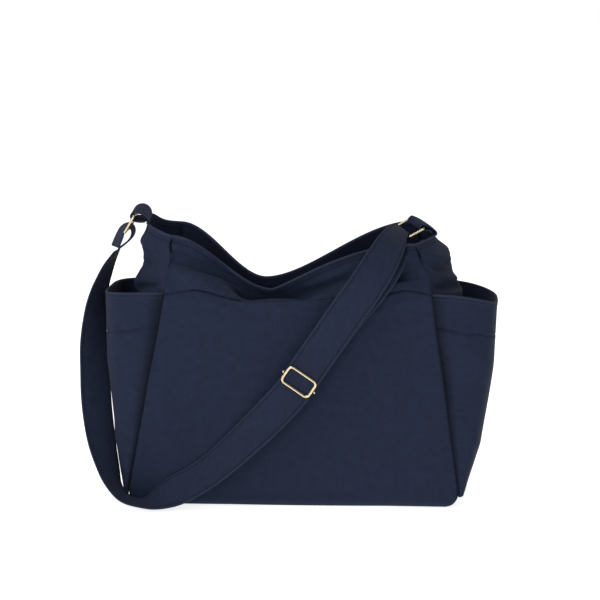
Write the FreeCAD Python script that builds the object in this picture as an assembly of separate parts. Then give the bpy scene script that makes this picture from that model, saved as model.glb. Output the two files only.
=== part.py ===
import FreeCAD, Part
import math
import os

# A slouchy canvas crossbody bag with two side pouches, standing on its base.
# Frame: X to the right, Y to the back, Z up; origin at the middle of the base, on the ground.
# Millimetres throughout.

Vec = FreeCAD.Vector

# ---- cloth and clearances -------------------------------------------------
canvas = 2.0              # sewn canvas with its seam allowances
lining = 0.8              # thin lining cloth
facing = 1.0              # turned-in canvas bands
gap = 0.3                 # air between pieces that do not touch

# ---- lower body -----------------------------------------------------------
foot_half_width = 187.5   # half width of the front panel at the ground, before its corners are rounded
seam_half_width = 148.5   # half width of the front panel at its top seam
seam_height = 238.0       # height of the seam between front panel and yoke
half_depth = 73.0         # centre plane to front panel
foot_round = 22.0         # rounding of all the bottom edges
gusset_foot_bulge = 2.0   # how far the side stands out at the ground
gusset_seam_bulge = 35.0  # how far the side stands out at seam height

# ---- mouth: heights are measured up from the seam ---------------------------
mouth_half_depth = 50.0
corner_left, corner_right = -142.0, 130.0     # where the side seams reach the rim
crown_left, crown_right = -174.0, 151.0       # top middle of each side
front_corner_rise = {-1: 62.0, 1: 54.0}       # left and right ends of the front rim
back_corner_rise = {-1: 72.0, 1: 68.0}        # left and right ends of the back rim
crown_rise = {-1: 73.0, 1: 61.0}              # top middle of the left and right sides
dip_front = (-30.0, -42.0, 2.2)              # lowest point of the front rim
dip_back = (-40.0, 14.0, 9.0)                 # lowest point of the back rim
dip_lean_front, dip_lean_back = 0.65, 0.92    # under 1, the rim climbs sooner on the right

# ---- base -----------------------------------------------------------------
board_thick = 3.0
base_corner = 12.0

# ---- side pouches ---------------------------------------------------------
pouch_foot_stand = 4.0    # how far the pouch stands out from the front panel's edge, at its foot
pouch_rim_stand = 71.5    # the same at its rim
pouch_low, pouch_below_seam = 14.0, 3.0
pouch_square = 4.0        # 2 is an ellipse in plan, more is boxier
pouch_swell = 1.7         # how early the pouch reaches its full width
pouch_band = 38.0         # height of the band turned in at the rim

# ---- inside pockets -------------------------------------------------------
slip_half_width, slip_low, slip_high, slip_stand = 85.0, 60.0, 165.0, 16.0
elastic_high, elastic_thick = 6.0, 2.0
zip_half_width, zip_below_seam, zip_tape_high = 95.0, 52.0, 14.0
zip_pouch_drop = 105.0
teeth_high, teeth_thick = 4.0, 1.2
zip_slider_size = (11.0, 3.0, 8.0)
pull_size = (5.0, 1.2, 24.0)
bail_radius, bail_wire, bail_forward = 2.2, 1.2, 1.2    # loop on the zip slider that holds the pull
pull_bar, pull_slot, pull_play = 1.0, 3.1, 0.5          # cross bar at the pull's top and the slot below it
pull_pin = 1.6                                          # middle of the bail's wire to the cross bar's middle

# ---- magnetic snap --------------------------------------------------------
snap_radius, snap_thick, snap_stud_radius, snap_stud_high = 9.0, 2.4, 4.0, 2.0
snap_station = 0.62       # share of the way from seam to rim

# ---- strap and hardware ---------------------------------------------------
strap_width, strap_thick = 38.0, 2.0
wire = 3.0                # wire of the rings and the slider
ring_slack = 1.5          # between the gathered cloth and the inside of a ring, each side
ring_short, ring_corner = 24.0, 2.0
slider_short, slider_corner = 22.6, 4.5
bar_wire = 2.6
bar_play = 1.3            # air between the strap and the ring's bar that it turns round
tab_thick = 2.0
return_spacing = 4.6      # strap's middle to the returning layer's middle, at the slider
return_close = 4.3        # the same where both layers cross the rim
return_shift = 3.0        # how far the returning layer lies to the right of the strap
strap_edge_in = 1.5       # the strap, standing on edge at the foot, reaches this far behind its hanging face
strap_foot_spread = 1.1733    # reach of the strap's route at the ground, in half widths of the foot

# ---- sizes that follow ----------------------------------------------------
ring_long = strap_width                       # rings and slider are as wide outside as the strap
slider_long = strap_width
gathered_width = ring_long - 2 * (wire + ring_slack)
pouch_foot = foot_half_width + pouch_foot_stand
pouch_rim = seam_half_width + pouch_rim_stand
pouch_high = seam_height - pouch_below_seam
zip_height = seam_height - zip_below_seam
strap_out = half_depth + strap_width / 2 - strap_edge_in    # centre plane to the hanging strap

os.makedirs("parts", exist_ok=True)


def save(name, shape):
    """Writes one named piece."""
    shape.exportStep("parts/" + name + ".step")


def solid_of(faces):
    """Closes a list of faces into one outward-facing solid."""
    shell = Part.makeShell(faces)
    body = Part.makeSolid(shell)
    if body.Volume < 0:
        body.reverse()
    return body


def triangles(a, b, c, d):
    """Two flat faces for the four-sided patch a b c d."""
    return [Part.Face(Part.makePolygon([a, b, c, a])), Part.Face(Part.makePolygon([a, c, d, a]))]


def plate(outer, inner):
    """Closed solid between two grids of points that have the same rows and columns."""
    rows, cols = len(outer), len(outer[0])
    faces = []
    for i in range(rows - 1):
        for j in range(cols - 1):
            faces += triangles(outer[i][j], outer[i][j + 1], outer[i + 1][j + 1], outer[i + 1][j])
            faces += triangles(inner[i][j], inner[i + 1][j], inner[i + 1][j + 1], inner[i][j + 1])
    edge = [(0, j) for j in range(cols)] + [(i, cols - 1) for i in range(1, rows)]
    edge += [(rows - 1, j) for j in range(cols - 2, -1, -1)] + [(i, 0) for i in range(rows - 2, 0, -1)]
    for k, (i, j) in enumerate(edge):
        m, n = edge[(k + 1) % len(edge)]
        faces += triangles(outer[i][j], inner[i][j], inner[m][n], outer[m][n])
    return solid_of(faces)


def steps(low, high, count):
    """Evenly spaced values from low to high, count spaces apart."""
    return [low + (high - low) * i / count for i in range(count + 1)]


def ease(t):
    """Smooth rise from 0 to 1."""
    return t * t * (3 - 2 * t)


# ---- the bag's outline ----------------------------------------------------
def inset(z):
    """How far the rounded bottom edge pulls the outline in at height z."""
    if z >= foot_round:
        return 0.0
    return foot_round - math.sqrt(foot_round ** 2 - (foot_round - z) ** 2)


def width_at(z):
    """Half width of the front panel at height z."""
    return foot_half_width + (seam_half_width - foot_half_width) * z / seam_height - inset(z)


def depth_at(z):
    """Half depth of the bag at height z, up to the seam."""
    return half_depth - inset(z)


def bulge_at(z):
    """How far the side stands out past its seams at height z."""
    return gusset_foot_bulge + (gusset_seam_bulge - gusset_foot_bulge) * z / seam_height


def pouch_at(z):
    """Centre plane to the outside of the side pouch at height z."""
    s = (z - pouch_low) / (pouch_high - pouch_low)
    return pouch_foot + (pouch_rim - pouch_foot) * (1 - (1 - min(s, 1.0)) ** pouch_swell)


panel_low = canvas + gap
foot_rows = [panel_low, 4.5, 8.0, 13.0, foot_round]


def wall_rows(top):
    """Heights of the rows of a wall panel: close together round the bottom edge."""
    return foot_rows + steps(foot_round, top, 6)[1:]


def panel(side, inner_face, outer_face, low_rows, trim):
    """Flat wall on the front (side -1) or back (side 1), between two depths behind the outline."""
    grids = []
    for depth in (outer_face, inner_face):
        grid = []
        for z in low_rows:
            half = width_at(z) - trim
            grid.append([Vec(x, side * (depth_at(z) - depth), z) for x in steps(-half, half, 8)])
        grids.append(grid)
    return plate(grids[0], grids[1])


def rim_point(side, u):
    """Point of the front or back rim; u runs from 0 at the left corner to 1 at the right."""
    x = corner_left + (corner_right - corner_left) * u
    dip_x, dip_y, dip_rise = dip_front if side < 0 else dip_back
    corner_rise = front_corner_rise if side < 0 else back_corner_rise
    lean = dip_lean_front if side < 0 else dip_lean_back
    if x < dip_x:
        t = (dip_x - x) / (dip_x - corner_left)
        corner = corner_rise[-1]
    else:
        t = ((x - dip_x) / (corner_right - dip_x)) ** lean
        corner = corner_rise[1]
    rise = ease(t)
    y = dip_y + (side * mouth_half_depth - dip_y) * rise
    return Vec(x, y, seam_height + dip_rise + (corner - dip_rise) * rise)


yoke_foot = seam_height + canvas + gap


def yoke_line(side, u):
    """Foot and rim of the yoke at u, and the direction that points into the bag."""
    half = seam_half_width
    foot = Vec(-half + 2 * half * u, side * half_depth, yoke_foot)
    rim = rim_point(side, u)
    along = Vec(0, rim.y - foot.y, rim.z - foot.z).normalize()
    inward = Vec(0, -side * along.z, side * along.y)
    return foot, rim, inward


def yoke_band(side, start, end, near, far, trim):
    """Band on the yoke from one share of its height to another, between two depths inside it."""
    grids = []
    for depth in (near, far):
        grid = []
        for v in steps(start, end, 4):
            row = []
            for u in steps(trim, 1 - trim, 28):
                foot, rim, inward = yoke_line(side, u)
                row.append(foot + (rim - foot) * v + inward * depth)
            grid.append(row)
        grids.append(grid)
    return plate(grids[0], grids[1])


def gusset_grid(side, depth, pinch, low_rows, top_share):
    """Grid of points on the side of the bag, depth behind its outside, pinch in from its seams."""
    corner, crown = (corner_left, crown_left) if side < 0 else (corner_right, crown_right)
    grid = []
    for z in low_rows:
        half = depth_at(z) - canvas - gap - pinch
        row = []
        for u in steps(-1, 1, 12):
            x = width_at(z) + bulge_at(z) * (1 - u * u) - depth
            row.append(Vec(side * x, half * u, z))
        grid.append(row)
    foot_half = half_depth - canvas - gap - pinch
    top_half = mouth_half_depth - canvas - gap - pinch
    for v in steps(0, top_share, 4)[1:]:
        row = []
        for u in steps(-1, 1, 12):
            foot_x = side * (seam_half_width + gusset_seam_bulge * (1 - u * u) - depth)
            top_x = corner + (crown - corner) * (1 - u * u) - side * depth
            end_rise = front_corner_rise[side] if u < 0 else back_corner_rise[side]
            top_rise = end_rise + (crown_rise[side] - end_rise) * (1 - abs(u) ** 1.5)
            row.append(Vec(foot_x + (top_x - foot_x) * v, (foot_half + (top_half - foot_half) * v) * u,
                           seam_height + top_rise * v))
        grid.append(row)
    return grid


def gusset(side):
    """One side of the bag, from base to rim, between the front and back panels."""
    rows = wall_rows(seam_height)
    return plate(gusset_grid(side, 0, 0, rows, 1), gusset_grid(side, canvas, 0, rows, 1))


def gusset_lining(side):
    """Lining cloth of one side."""
    rows = [z for z in wall_rows(seam_height) if z > board_top]
    pinch = lining + gap
    near, far = canvas + gap, canvas + gap + lining
    return plate(gusset_grid(side, near, pinch, rows, 0.94), gusset_grid(side, far, pinch, rows, 0.94))


def pouch_wall(side, near, far, rows, span):
    """Wall of the side pouch between two depths behind its outside; span 90 reaches the seams."""
    grids = []
    for depth in (near, far):
        grid = []
        for z in rows:
            start = width_at(z) + gap
            reach = pouch_at(z) - start - depth
            half = depth_at(z) - depth
            row = []
            for a in steps(-span, span, 16):
                c, s = math.cos(math.radians(a)), math.sin(math.radians(a))
                along = abs(s) ** (2 / pouch_square) * (1 if s > 0 else -1)
                row.append(Vec(side * (start + reach * abs(c) ** (2 / pouch_square)), half * along, z))
            grid.append(row)
        grids.append(grid)
    return plate(grids[0], grids[1])


def rounded_slab(half_x, half_y, corner, low, thick):
    """Flat slab with rounded corners."""
    slab = Part.makeBox(2 * half_x, 2 * half_y, thick, Vec(-half_x, -half_y, low))
    upright = [e for e in slab.Edges if abs(e.tangentAt(e.FirstParameter).z) > 0.99]
    return slab.makeFillet(corner, upright)


# ---- body panels ----------------------------------------------------------
board_low = panel_low
board_top = board_low + board_thick

save("front_panel", panel(-1, canvas, 0, wall_rows(seam_height), 0))
save("back_panel", panel(1, canvas, 0, wall_rows(seam_height), 0))
save("front_yoke", yoke_band(-1, 0, 1, 0, canvas, 0))
save("back_yoke", yoke_band(1, 0, 1, 0, canvas, 0))
save("left_gusset", gusset(-1))
save("right_gusset", gusset(1))
save("base_panel", rounded_slab(width_at(canvas), depth_at(canvas), base_corner, 0, canvas))
board_half_width = width_at(board_low) - 2 * canvas
board_half_depth = depth_at(board_low) - 2 * canvas
save("base_board", rounded_slab(board_half_width, board_half_depth, base_corner, board_low, board_thick))

# ---- side pouches ---------------------------------------------------------
for name, side in (("left", -1), ("right", 1)):
    pouch_rows = [pouch_low] + steps(foot_round, pouch_high, 8)
    save(name + "_pocket", pouch_wall(side, 0, canvas, pouch_rows, 90))
    band_rows = steps(pouch_high - pouch_band, pouch_high - gap, 3)
    save(name + "_pocket_facing", pouch_wall(side, canvas + gap, canvas + gap + facing, band_rows, 86))

# ---- facings and lining ---------------------------------------------------
save("front_facing", yoke_band(-1, 0.12, 0.99, canvas + 2 * gap, canvas + 2 * gap + facing, 0.02))
save("back_facing", yoke_band(1, 0.12, 0.99, canvas + 2 * gap, canvas + 2 * gap + facing, 0.02))
lining_top = seam_height - 12.0
lining_rows = [z for z in wall_rows(lining_top) if z > board_top]
lining_near = canvas + gap        # behind the panels, and in from the side seams
save("lining_front", panel(-1, lining_near + lining, lining_near, lining_rows, lining_near))
save("lining_back", panel(1, lining_near + lining, lining_near, lining_rows, lining_near))
save("lining_left", gusset_lining(-1))
save("lining_right", gusset_lining(1))
save("lining_base", rounded_slab(board_half_width, board_half_depth, base_corner, board_top + gap, lining))

# ---- inside pockets -------------------------------------------------------
inside_wall = canvas + gap + lining + gap      # depth of the lining's inner face, with clearance


def slip_wall(low, high, thick, rows):
    """Cloth of the open pocket on the front lining; it stands away from the lining in its middle."""
    grids = []
    for depth in (0, thick):
        grid = []
        for z in steps(low, high, rows):
            share = (z - slip_low) / (slip_high - slip_low)
            stand = slip_stand * min(share, 1.0) ** 0.6
            row = []
            for u in steps(-1, 1, 12):
                y = -half_depth + inside_wall + stand * (1 - u * u) + depth
                row.append(Vec(slip_half_width * u, y, z))
            grid.append(row)
        grids.append(grid)
    return plate(grids[0], grids[1])


save("slip_pocket", slip_wall(slip_low, slip_high, lining, 5))
save("slip_pocket_elastic", slip_wall(slip_high + gap, slip_high + gap + elastic_high, elastic_thick, 1))

zip_wall = half_depth - inside_wall           # the zip lies on the back lining's inner face


def zip_slab(half, low, high, near, thick):
    """Flat strip on the back lining."""
    return Part.makeBox(2 * half, thick, high - low, Vec(-half, zip_wall - near - thick, low))


teeth_low, teeth_top = zip_height - teeth_high / 2, zip_height + teeth_high / 2
tape_upper = zip_slab(zip_half_width, teeth_top + gap, teeth_top + gap + zip_tape_high, 0, facing)
tape_lower = zip_slab(zip_half_width, teeth_low - gap - zip_tape_high, teeth_low - gap, 0, facing)
save("zip_tapes", Part.makeCompound([tape_upper, tape_lower]))
save("zip_teeth", zip_slab(zip_half_width - 6, teeth_low, teeth_top, 0, teeth_thick))
pouch_cloth_top = teeth_low - 2 * gap - zip_tape_high
save("zip_pocket_cloth", zip_slab(zip_half_width, pouch_cloth_top - zip_pouch_drop, pouch_cloth_top, 0, lining))

slider_x = -zip_half_width + 14.0
slider_front = zip_wall - teeth_thick - gap
sx, sy, sz = zip_slider_size
zip_block = Part.makeBox(sx, sy, sz, Vec(slider_x - sx / 2, slider_front - sy, zip_height - sz / 2))
zip_block = zip_block.makeFillet(1.2, zip_block.Edges)
bail_y = slider_front - sy - bail_forward
bail = Part.makeTorus(bail_radius, bail_wire / 2, Vec(slider_x, bail_y, zip_height), Vec(1, 0, 0))
save("zip_slider", zip_block.fuse(bail))
pull_wide, pull_thick, pull_long = pull_size
pin_y = bail_y - bail_radius + pull_pin        # the pull turns about its cross bar, inside the bail
pull = Part.makeBox(pull_wide, pull_thick, pull_long,
                    Vec(slider_x - pull_wide / 2, pin_y - pull_thick / 2, zip_height + pull_bar / 2 - pull_long))
pull = pull.makeFillet(0.5, pull.Edges)
slot_wide = bail_wire + 2 * pull_play
slot = Part.makeBox(slot_wide, 2 * pull_thick, pull_slot,
                    Vec(slider_x - slot_wide / 2, pin_y - pull_thick, zip_height - pull_bar / 2 - pull_slot))
save("zip_pull", pull.cut(slot))

# ---- magnetic snap --------------------------------------------------------
def snap_frame(side):
    """Middle and inward direction of the snap half on one yoke."""
    u = (dip_front[0] - corner_left) / (corner_right - corner_left)
    foot, rim, inward = yoke_line(side, u)
    return foot + (rim - foot) * snap_station, inward


def snap_disc(side, depth, radius, thick):
    """Disc lying inside the yoke, its near face at the given depth."""
    middle, inward = snap_frame(side)
    return Part.makeCylinder(radius, thick, middle + inward * depth, inward)


snap_near = canvas + gap + facing + gap + 0.6
socket = snap_disc(-1, snap_near, snap_radius, snap_thick)
save("snap_socket", socket.cut(snap_disc(-1, snap_near + snap_thick - 1.2, snap_stud_radius + gap, 2.0)))
stud_end = snap_disc(1, snap_near + snap_thick, snap_stud_radius, snap_stud_high)
save("snap_stud", snap_disc(1, snap_near, snap_radius, snap_thick).fuse(stud_end))

# ---- rings ----------------------------------------------------------------
ring_reach = (ring_short - wire) / 2          # ring middle to the middle of either long bar
left_long = Vec(0, 1, 0)
left_short = Vec(0.496, 0, 0.868).normalize()
left_bar = Vec(crown_left - 13.7, 0, seam_height + crown_rise[-1] + 8.7)   # middle of the bar in the tab
left_middle = left_bar - left_short * ring_reach
left_strap_bar = left_middle - left_short * ring_reach
right_long = Vec(-0.452, 0.857, 0.25).normalize()
right_short = Vec(0.835, 0.308, 0.455)
right_short = (right_short - right_long * right_short.dot(right_long)).normalize()
right_middle = Vec(crown_right - 28.5, 0, seam_height + crown_rise[1] + 7.5)
right_bar = right_middle + right_short * ring_reach
right_strap_bar = right_middle - right_short * ring_reach


def wire_loop(middle, long_dir, short_dir, long_size, short_size, corner, thick):
    """Rounded rectangle of round wire; sizes are outside sizes."""
    a, b = (long_size - thick) / 2, (short_size - thick) / 2
    r = corner
    h = r * math.sqrt(0.5)

    def at(p, q):
        return middle + long_dir * p + short_dir * q

    edges = []
    turns = ((1, 1), (-1, 1), (-1, -1), (1, -1))
    for k, (sp, sq) in enumerate(turns):
        ends = [at(sp * a, sq * (b - r)), at(sp * (a - r), sq * b)]
        if sp * sq < 0:
            ends.reverse()
        bend = at(sp * (a - r + h), sq * (b - r + h))
        edges.append(Part.Arc(ends[0], bend, ends[1]).toShape())
        tp, tq = turns[(k + 1) % 4]
        follow = at(tp * (a - r), tq * b) if sp != tp else at(tp * a, tq * (b - r))
        edges.append(Part.LineSegment(ends[1], follow).toShape())
    path = Part.Wire(edges)
    start = path.Edges[0].valueAt(path.Edges[0].FirstParameter)
    tangent = path.Edges[0].tangentAt(path.Edges[0].FirstParameter)
    profile = Part.Wire(Part.Circle(start, tangent, thick / 2).toShape())
    return path.makePipeShell([profile], True, True, 2)


save("left_ring", wire_loop(left_middle, left_long, left_short, ring_long, ring_short, ring_corner, wire))
save("right_ring", wire_loop(right_middle, right_long, right_short, ring_long, ring_short, ring_corner, wire))


# ---- strap ----------------------------------------------------------------
def ribbon(stations, thick):
    """Flat strap through stations of middle, width direction and width."""
    front, back = [], []
    last = len(stations) - 1
    for k, (middle, across, width) in enumerate(stations):
        travel = stations[min(k + 1, last)][0] - stations[max(k - 1, 0)][0]
        across = FreeCAD.Vector(across).normalize()
        normal = travel.cross(across).normalize()
        ends = [middle - across * (width / 2), middle + across * (width / 2)]
        front.append([p + normal * (thick / 2) for p in ends])
        back.append([p - normal * (thick / 2) for p in ends])
    return plate(front, back)


def travel_at(route, k):
    """Direction of a route at its station k."""
    last = len(route) - 1
    return (route[min(k + 1, last)][0] - route[max(k - 1, 0)][0]).normalize()


def squared(route, count):
    """The route with the width of its first stations turned square to the way it travels."""
    result = []
    for k, (middle, across, width) in enumerate(route):
        if k < count:
            travel = travel_at(route, k)
            across = across - travel * across.dot(travel)
        result.append((middle, Vec(across).normalize(), width))
    return result


def draped(across_share, depth_share, height_share):
    """Place by its shares of the bag's reach at that height, the strap's distance in front, and the seam's height."""
    reach = strap_foot_spread * foot_half_width * (1 - height_share) + pouch_rim * height_share
    return Vec(across_share * reach, -depth_share * strap_out, height_share * seam_height)


def below_left(dx, dy, dz):
    """Place measured from the left ring's lower bar."""
    return left_strap_bar + Vec(dx, dy, dz)


def before_right(dx, forward, dz):
    """Place measured from the right ring's strap bar, but for its depth: forward is 1 over the rim, 2 in front."""
    if forward <= 1:
        depth = mouth_half_depth * forward
    else:
        depth = mouth_half_depth + (strap_out - mouth_half_depth) * (forward - 1)
    return Vec(right_strap_bar.x + dx, -depth, right_strap_bar.z + dz)


slider_middle = draped(0.0125, 1, 0.609)
run_end = draped(0.256, 1, 0.939)             # the strap is straight from the slider to here
run_dir = (run_end - slider_middle).normalize()
run_across = Vec(-run_dir.z, 0, run_dir.x)
W = strap_width

# From the left ring down beside the pouch, round the corner at the ground, and up across the front.
# Each station has a place, the direction from one edge to the other, and the width there.
strap_route = [
    (below_left(-11.7, -1, -22.5), Vec(0.05, 1, 0), gathered_width + 4),
    (below_left(-18.9, -8, -35.5), Vec(0.2, 0.98, 0), W - 2),
    (below_left(-26.9, -14, -49.5), Vec(0.3, 0.95, 0), W - 1),
    (draped(-1.052, 0.21, 0.992), Vec(0.40, 0.92, 0), W),
    (draped(-1.068, 0.254, 0.908), Vec(0.52, 0.85, 0), W),
    (draped(-1.08, 0.31, 0.76), Vec(0.66, 0.75, 0), W),
    (draped(-1.064, 0.376, 0.613), Vec(0.75, 0.66, 0), W),
    (draped(-1.048, 0.431, 0.504), Vec(0.78, 0.63, 0), W),
    (draped(-1.024, 0.508, 0.395), Vec(0.76, 0.65, 0), W),
    (draped(-0.991, 0.63, 0.277), Vec(0.70, 0.71, -0.1), W),
    (draped(-0.955, 0.751, 0.176), Vec(0.55, 0.80, -0.2), W),
    (draped(-0.919, 0.873, 0.092), Vec(0.35, 0.92, -0.2), W),
    (draped(-0.865, 0.961, 0.036), Vec(0.15, 0.98, -0.05), W),
    (draped(-0.786, 0.994, 0.015), Vec(0, 1, 0.05), W),
    (draped(-0.695, 1.011, 0.05), Vec(-0.1, 0.86, 0.5), W),
    (draped(-0.605, 1.006, 0.092), Vec(-0.35, 0.62, 0.7), W),
    (draped(-0.509, 0.994, 0.139), Vec(-0.5, 0.59, 0.63), W),
    (draped(-0.391, 0.989, 0.218), Vec(-0.56, 0.55, 0.62), W),
    (draped(-0.273, 0.989, 0.319), Vec(-0.62, 0.42, 0.66), W),
    (draped(-0.168, 0.994, 0.414), Vec(-0.66, 0.26, 0.69), W),
    (draped(-0.082, 0.998, 0.498), Vec(-0.72, 0.08, 0.68), W),
    (slider_middle - run_dir * 15, run_across, W),
    (slider_middle, run_across, W),
    (run_end, run_across, W),
    (before_right(-44.7, 1.963, -58.7), Vec(-0.80, 0.06, 0.6), W),
    (before_right(-34.2, 1.84, -39.2), Vec(-0.76, 0.2, 0.6), W),
    (before_right(-26.7, 1.617, -21.7), Vec(-0.70, 0.42, 0.56), W),
    (before_right(-19.7, 1.272, -6.7), Vec(-0.60, 0.54, 0.59), W - 1),
    (before_right(-13.2, 0.89, 1.8), Vec(-0.53, 0.66, 0.53), W - 3),
    (before_right(-7.2, 0.5, 5.3), Vec(-0.48, 0.80, 0.38), W - 6),
]
skewed_stations = 4       # near the ring the strap bunches up and lies askew

bar_turn = wire / 2 + strap_thick / 2 + bar_play    # radius of the strap's turn round a bar


def round_bar(bar, long_dir, start_dir, count, span, radius):
    """Points round a bar at one radius, turning from start_dir by span degrees."""
    points = []
    for a in steps(0, span, count):
        turn = FreeCAD.Rotation(long_dir, a)
        points.append(bar + turn.multVec(start_dir) * radius)
    return points


arrive = Vec(0.34, -0.09, 0.93)               # where the strap first lies on the bar
arrive = (arrive - right_long * arrive.dot(right_long)).normalize()
turn_sign = 1 if FreeCAD.Rotation(right_long, 90).multVec(arrive).dot(right_short) > 0 else -1
strap_turn = round_bar(right_strap_bar, right_long, arrive, 5, turn_sign * 185, bar_turn)
strap_route.append((strap_turn[0], right_long, gathered_width))
strap_route = squared(strap_route, len(strap_route) - skewed_stations)
save("strap", ribbon(strap_route, strap_thick))


# The returning layer turns round the right ring and runs down behind the strap to the slider.
first_return = strap_route.index([s for s in strap_route if s[0] == slider_middle][0])
strap_return_route = [(p, right_long, gathered_width) for p in strap_turn[1:]]
for k in range(len(strap_route) - 2, first_return, -1):
    across = strap_route[k][1]
    normal = travel_at(strap_route, k).cross(across).normalize()
    share = (len(strap_route) - 1 - k) / (len(strap_route) - 1 - first_return)
    spacing = return_close + (return_spacing - return_close) * share
    middle = strap_route[k][0] - normal * spacing - across * return_shift * math.sin(math.pi * share)
    strap_return_route.append((middle, across, min(strap_route[k][2], W - 1)))
low_end = slider_middle + run_dir * (slider_short / 2 + 3) - Vec(0, -1, 0) * return_spacing
strap_return_route.append((low_end - run_across * 2.0, run_across, W - 2))
save("strap_return", ribbon(strap_return_route, strap_thick))

# The sewn loop at the left end, seen from the front: hem, over the ring's bar, back to the strap.
loop_path = [(-15.9, -14), (-10.4, -4.5), (-5.4, 4.5), (0.6, 9), (6.6, 7), (9.3, 0.5), (6.6, -7), (0.1, -13.5),
             (-7.5, -18.3)]
loop_route = [(below_left(x, 0, z), Vec(0, 1, 0), gathered_width) for x, z in loop_path]
save("strap_end_loop", ribbon(loop_route, strap_thick))

# ---- slider ---------------------------------------------------------------
slider_plane = slider_middle - Vec(0, strap_thick / 2 + gap + wire / 2, 0)
save("slider_frame", wire_loop(slider_plane, run_across, run_dir, slider_long, slider_short, slider_corner, wire))


def slider_bar():
    """Bar behind the strap; its two ends come forward past the strap's edges and grip the frame."""
    behind = slider_middle + Vec(0, strap_thick / 2 + gap + bar_wire / 2, 0)
    half = strap_width / 2 + gap + bar_wire / 2
    bar = Part.makeCylinder(bar_wire / 2, 2 * half, behind - run_across * half, run_across)
    for sign in (-1, 1):
        root = behind + run_across * (sign * half)
        front = slider_plane.y
        post = Part.makeCylinder(bar_wire / 2, root.y - front, root, Vec(0, -1, 0))
        bar = bar.fuse([post, Part.makeSphere(bar_wire / 2, root)])
        bar = bar.fuse(Part.makeSphere(bar_wire / 2, Vec(root.x, front, root.z)))
    return bar.cut(wire_loop(slider_plane, run_across, run_dir, slider_long, slider_short, slider_corner,
                             wire + 0.02))


save("slider_bar", slider_bar())

# ---- tabs -----------------------------------------------------------------
def tab(path, across_list, start_width):
    """Fabric loop sewn to the top of one side; it narrows where it passes the ring."""
    eased = (start_width + gathered_width) / 2
    widths = [start_width, eased] + [gathered_width] * (len(path) - 4) + [eased, start_width]
    route = [(p, a, w) for p, a, w in zip(path, across_list, widths)]
    return ribbon(route, tab_thick)


left_path = [(17.2, -6.7), (19.2, -0.7), (17.2, 5.8), (11.2, 10.3), (3.7, 10.8), (-2.8, 7.3), (-5.3, 0.8),
             (-3.3, -4.7), (1.7, -6.7), (6.2, -6.4), (10.2, -5.7)]
left_points = [left_bar + Vec(x, 0, z) for x, z in left_path]
save("left_strap_tab", tab(left_points, [Vec(0, 1, 0)] * len(left_points), W - 2))

tab_turn = wire / 2 + tab_thick / 2 + 1.2
over = Vec(0.3, 0, 0.95)
over = (over - right_long * over.dot(right_long)).normalize()
crown = Vec(crown_right, 0, seam_height + crown_rise[1])
right_points = [crown + Vec(2.5, 0, 2.5), crown + Vec(1.5, 0.5, 8), crown + Vec(-3, 1.5, 12.5)]
right_points.append(crown + Vec(-10, 2.5, 15.8))
right_points += round_bar(right_bar, right_long, over, 5, -turn_sign * 200, tab_turn)
right_points += [crown + Vec(-10, 2, 4.6), crown + Vec(-3, 0.5, 3.2)]
blend = [0, 0.1, 0.4, 0.8] + [1] * 6 + [0.6, 0]
right_across = [Vec(0, 1, 0) * (1 - t) + right_long * t for t in blend]
save("right_strap_tab", tab(right_points, right_across, W - 4))
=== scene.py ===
import math

import bpy
import numpy as np
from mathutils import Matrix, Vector


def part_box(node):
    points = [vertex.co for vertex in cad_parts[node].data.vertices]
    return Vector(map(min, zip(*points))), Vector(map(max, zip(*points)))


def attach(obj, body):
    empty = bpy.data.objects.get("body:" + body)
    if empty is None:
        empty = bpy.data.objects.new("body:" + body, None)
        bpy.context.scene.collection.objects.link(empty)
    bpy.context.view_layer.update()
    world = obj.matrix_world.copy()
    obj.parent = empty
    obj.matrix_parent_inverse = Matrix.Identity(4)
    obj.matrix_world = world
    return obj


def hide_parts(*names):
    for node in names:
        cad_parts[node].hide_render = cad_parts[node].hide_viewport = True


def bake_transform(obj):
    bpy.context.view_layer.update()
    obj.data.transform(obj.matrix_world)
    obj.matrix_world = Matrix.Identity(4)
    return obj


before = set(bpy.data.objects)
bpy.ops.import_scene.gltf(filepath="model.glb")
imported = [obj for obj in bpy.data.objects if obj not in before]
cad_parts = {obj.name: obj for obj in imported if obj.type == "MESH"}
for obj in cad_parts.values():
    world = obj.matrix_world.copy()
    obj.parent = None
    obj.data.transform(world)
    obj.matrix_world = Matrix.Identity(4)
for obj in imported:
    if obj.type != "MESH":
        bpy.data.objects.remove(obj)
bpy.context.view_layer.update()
MM = 0.001        # every shape below is worked out in millimetres, in the bag's own frame

# ======== floor, light and camera ===========================================
# A plain white table and soft light from above and in front, as in a small product studio.
floor_mesh = bpy.data.meshes.new("studio_floor")
table_half = 150.0
floor_mesh.from_pydata([(-table_half, -table_half, 0), (table_half, -table_half, 0),
                        (table_half, table_half, 0), (-table_half, table_half, 0)], [], [(0, 1, 2, 3)])
floor = bpy.data.objects.new("studio_floor", floor_mesh)
bpy.context.scene.collection.objects.link(floor)
white = bpy.data.materials.new("white_table")
white.use_nodes = True
white_skin = white.node_tree.nodes["Principled BSDF"]
white_skin.inputs["Base Color"].default_value = (0.93, 0.93, 0.93, 1)
white_skin.inputs["Roughness"].default_value = 0.9
white_skin.inputs["Emission Color"].default_value = (1, 1, 1, 1)
white_skin.inputs["Emission Strength"].default_value = 0.82
floor_mesh.materials.append(white)

world = bpy.data.worlds.new("studio")
bpy.context.scene.world = world
world.use_nodes = True
sky = world.node_tree.nodes["Background"]
sky.inputs["Color"].default_value = (1, 1, 1, 1)
seen = world.node_tree.nodes.new("ShaderNodeLightPath")
level = world.node_tree.nodes.new("ShaderNodeMapRange")
level.inputs["To Min"].default_value = 0.26
level.inputs["To Max"].default_value = 1.0
world.node_tree.links.new(seen.outputs["Is Camera Ray"], level.inputs["Value"])
world.node_tree.links.new(level.outputs["Result"], sky.inputs["Strength"])


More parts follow.
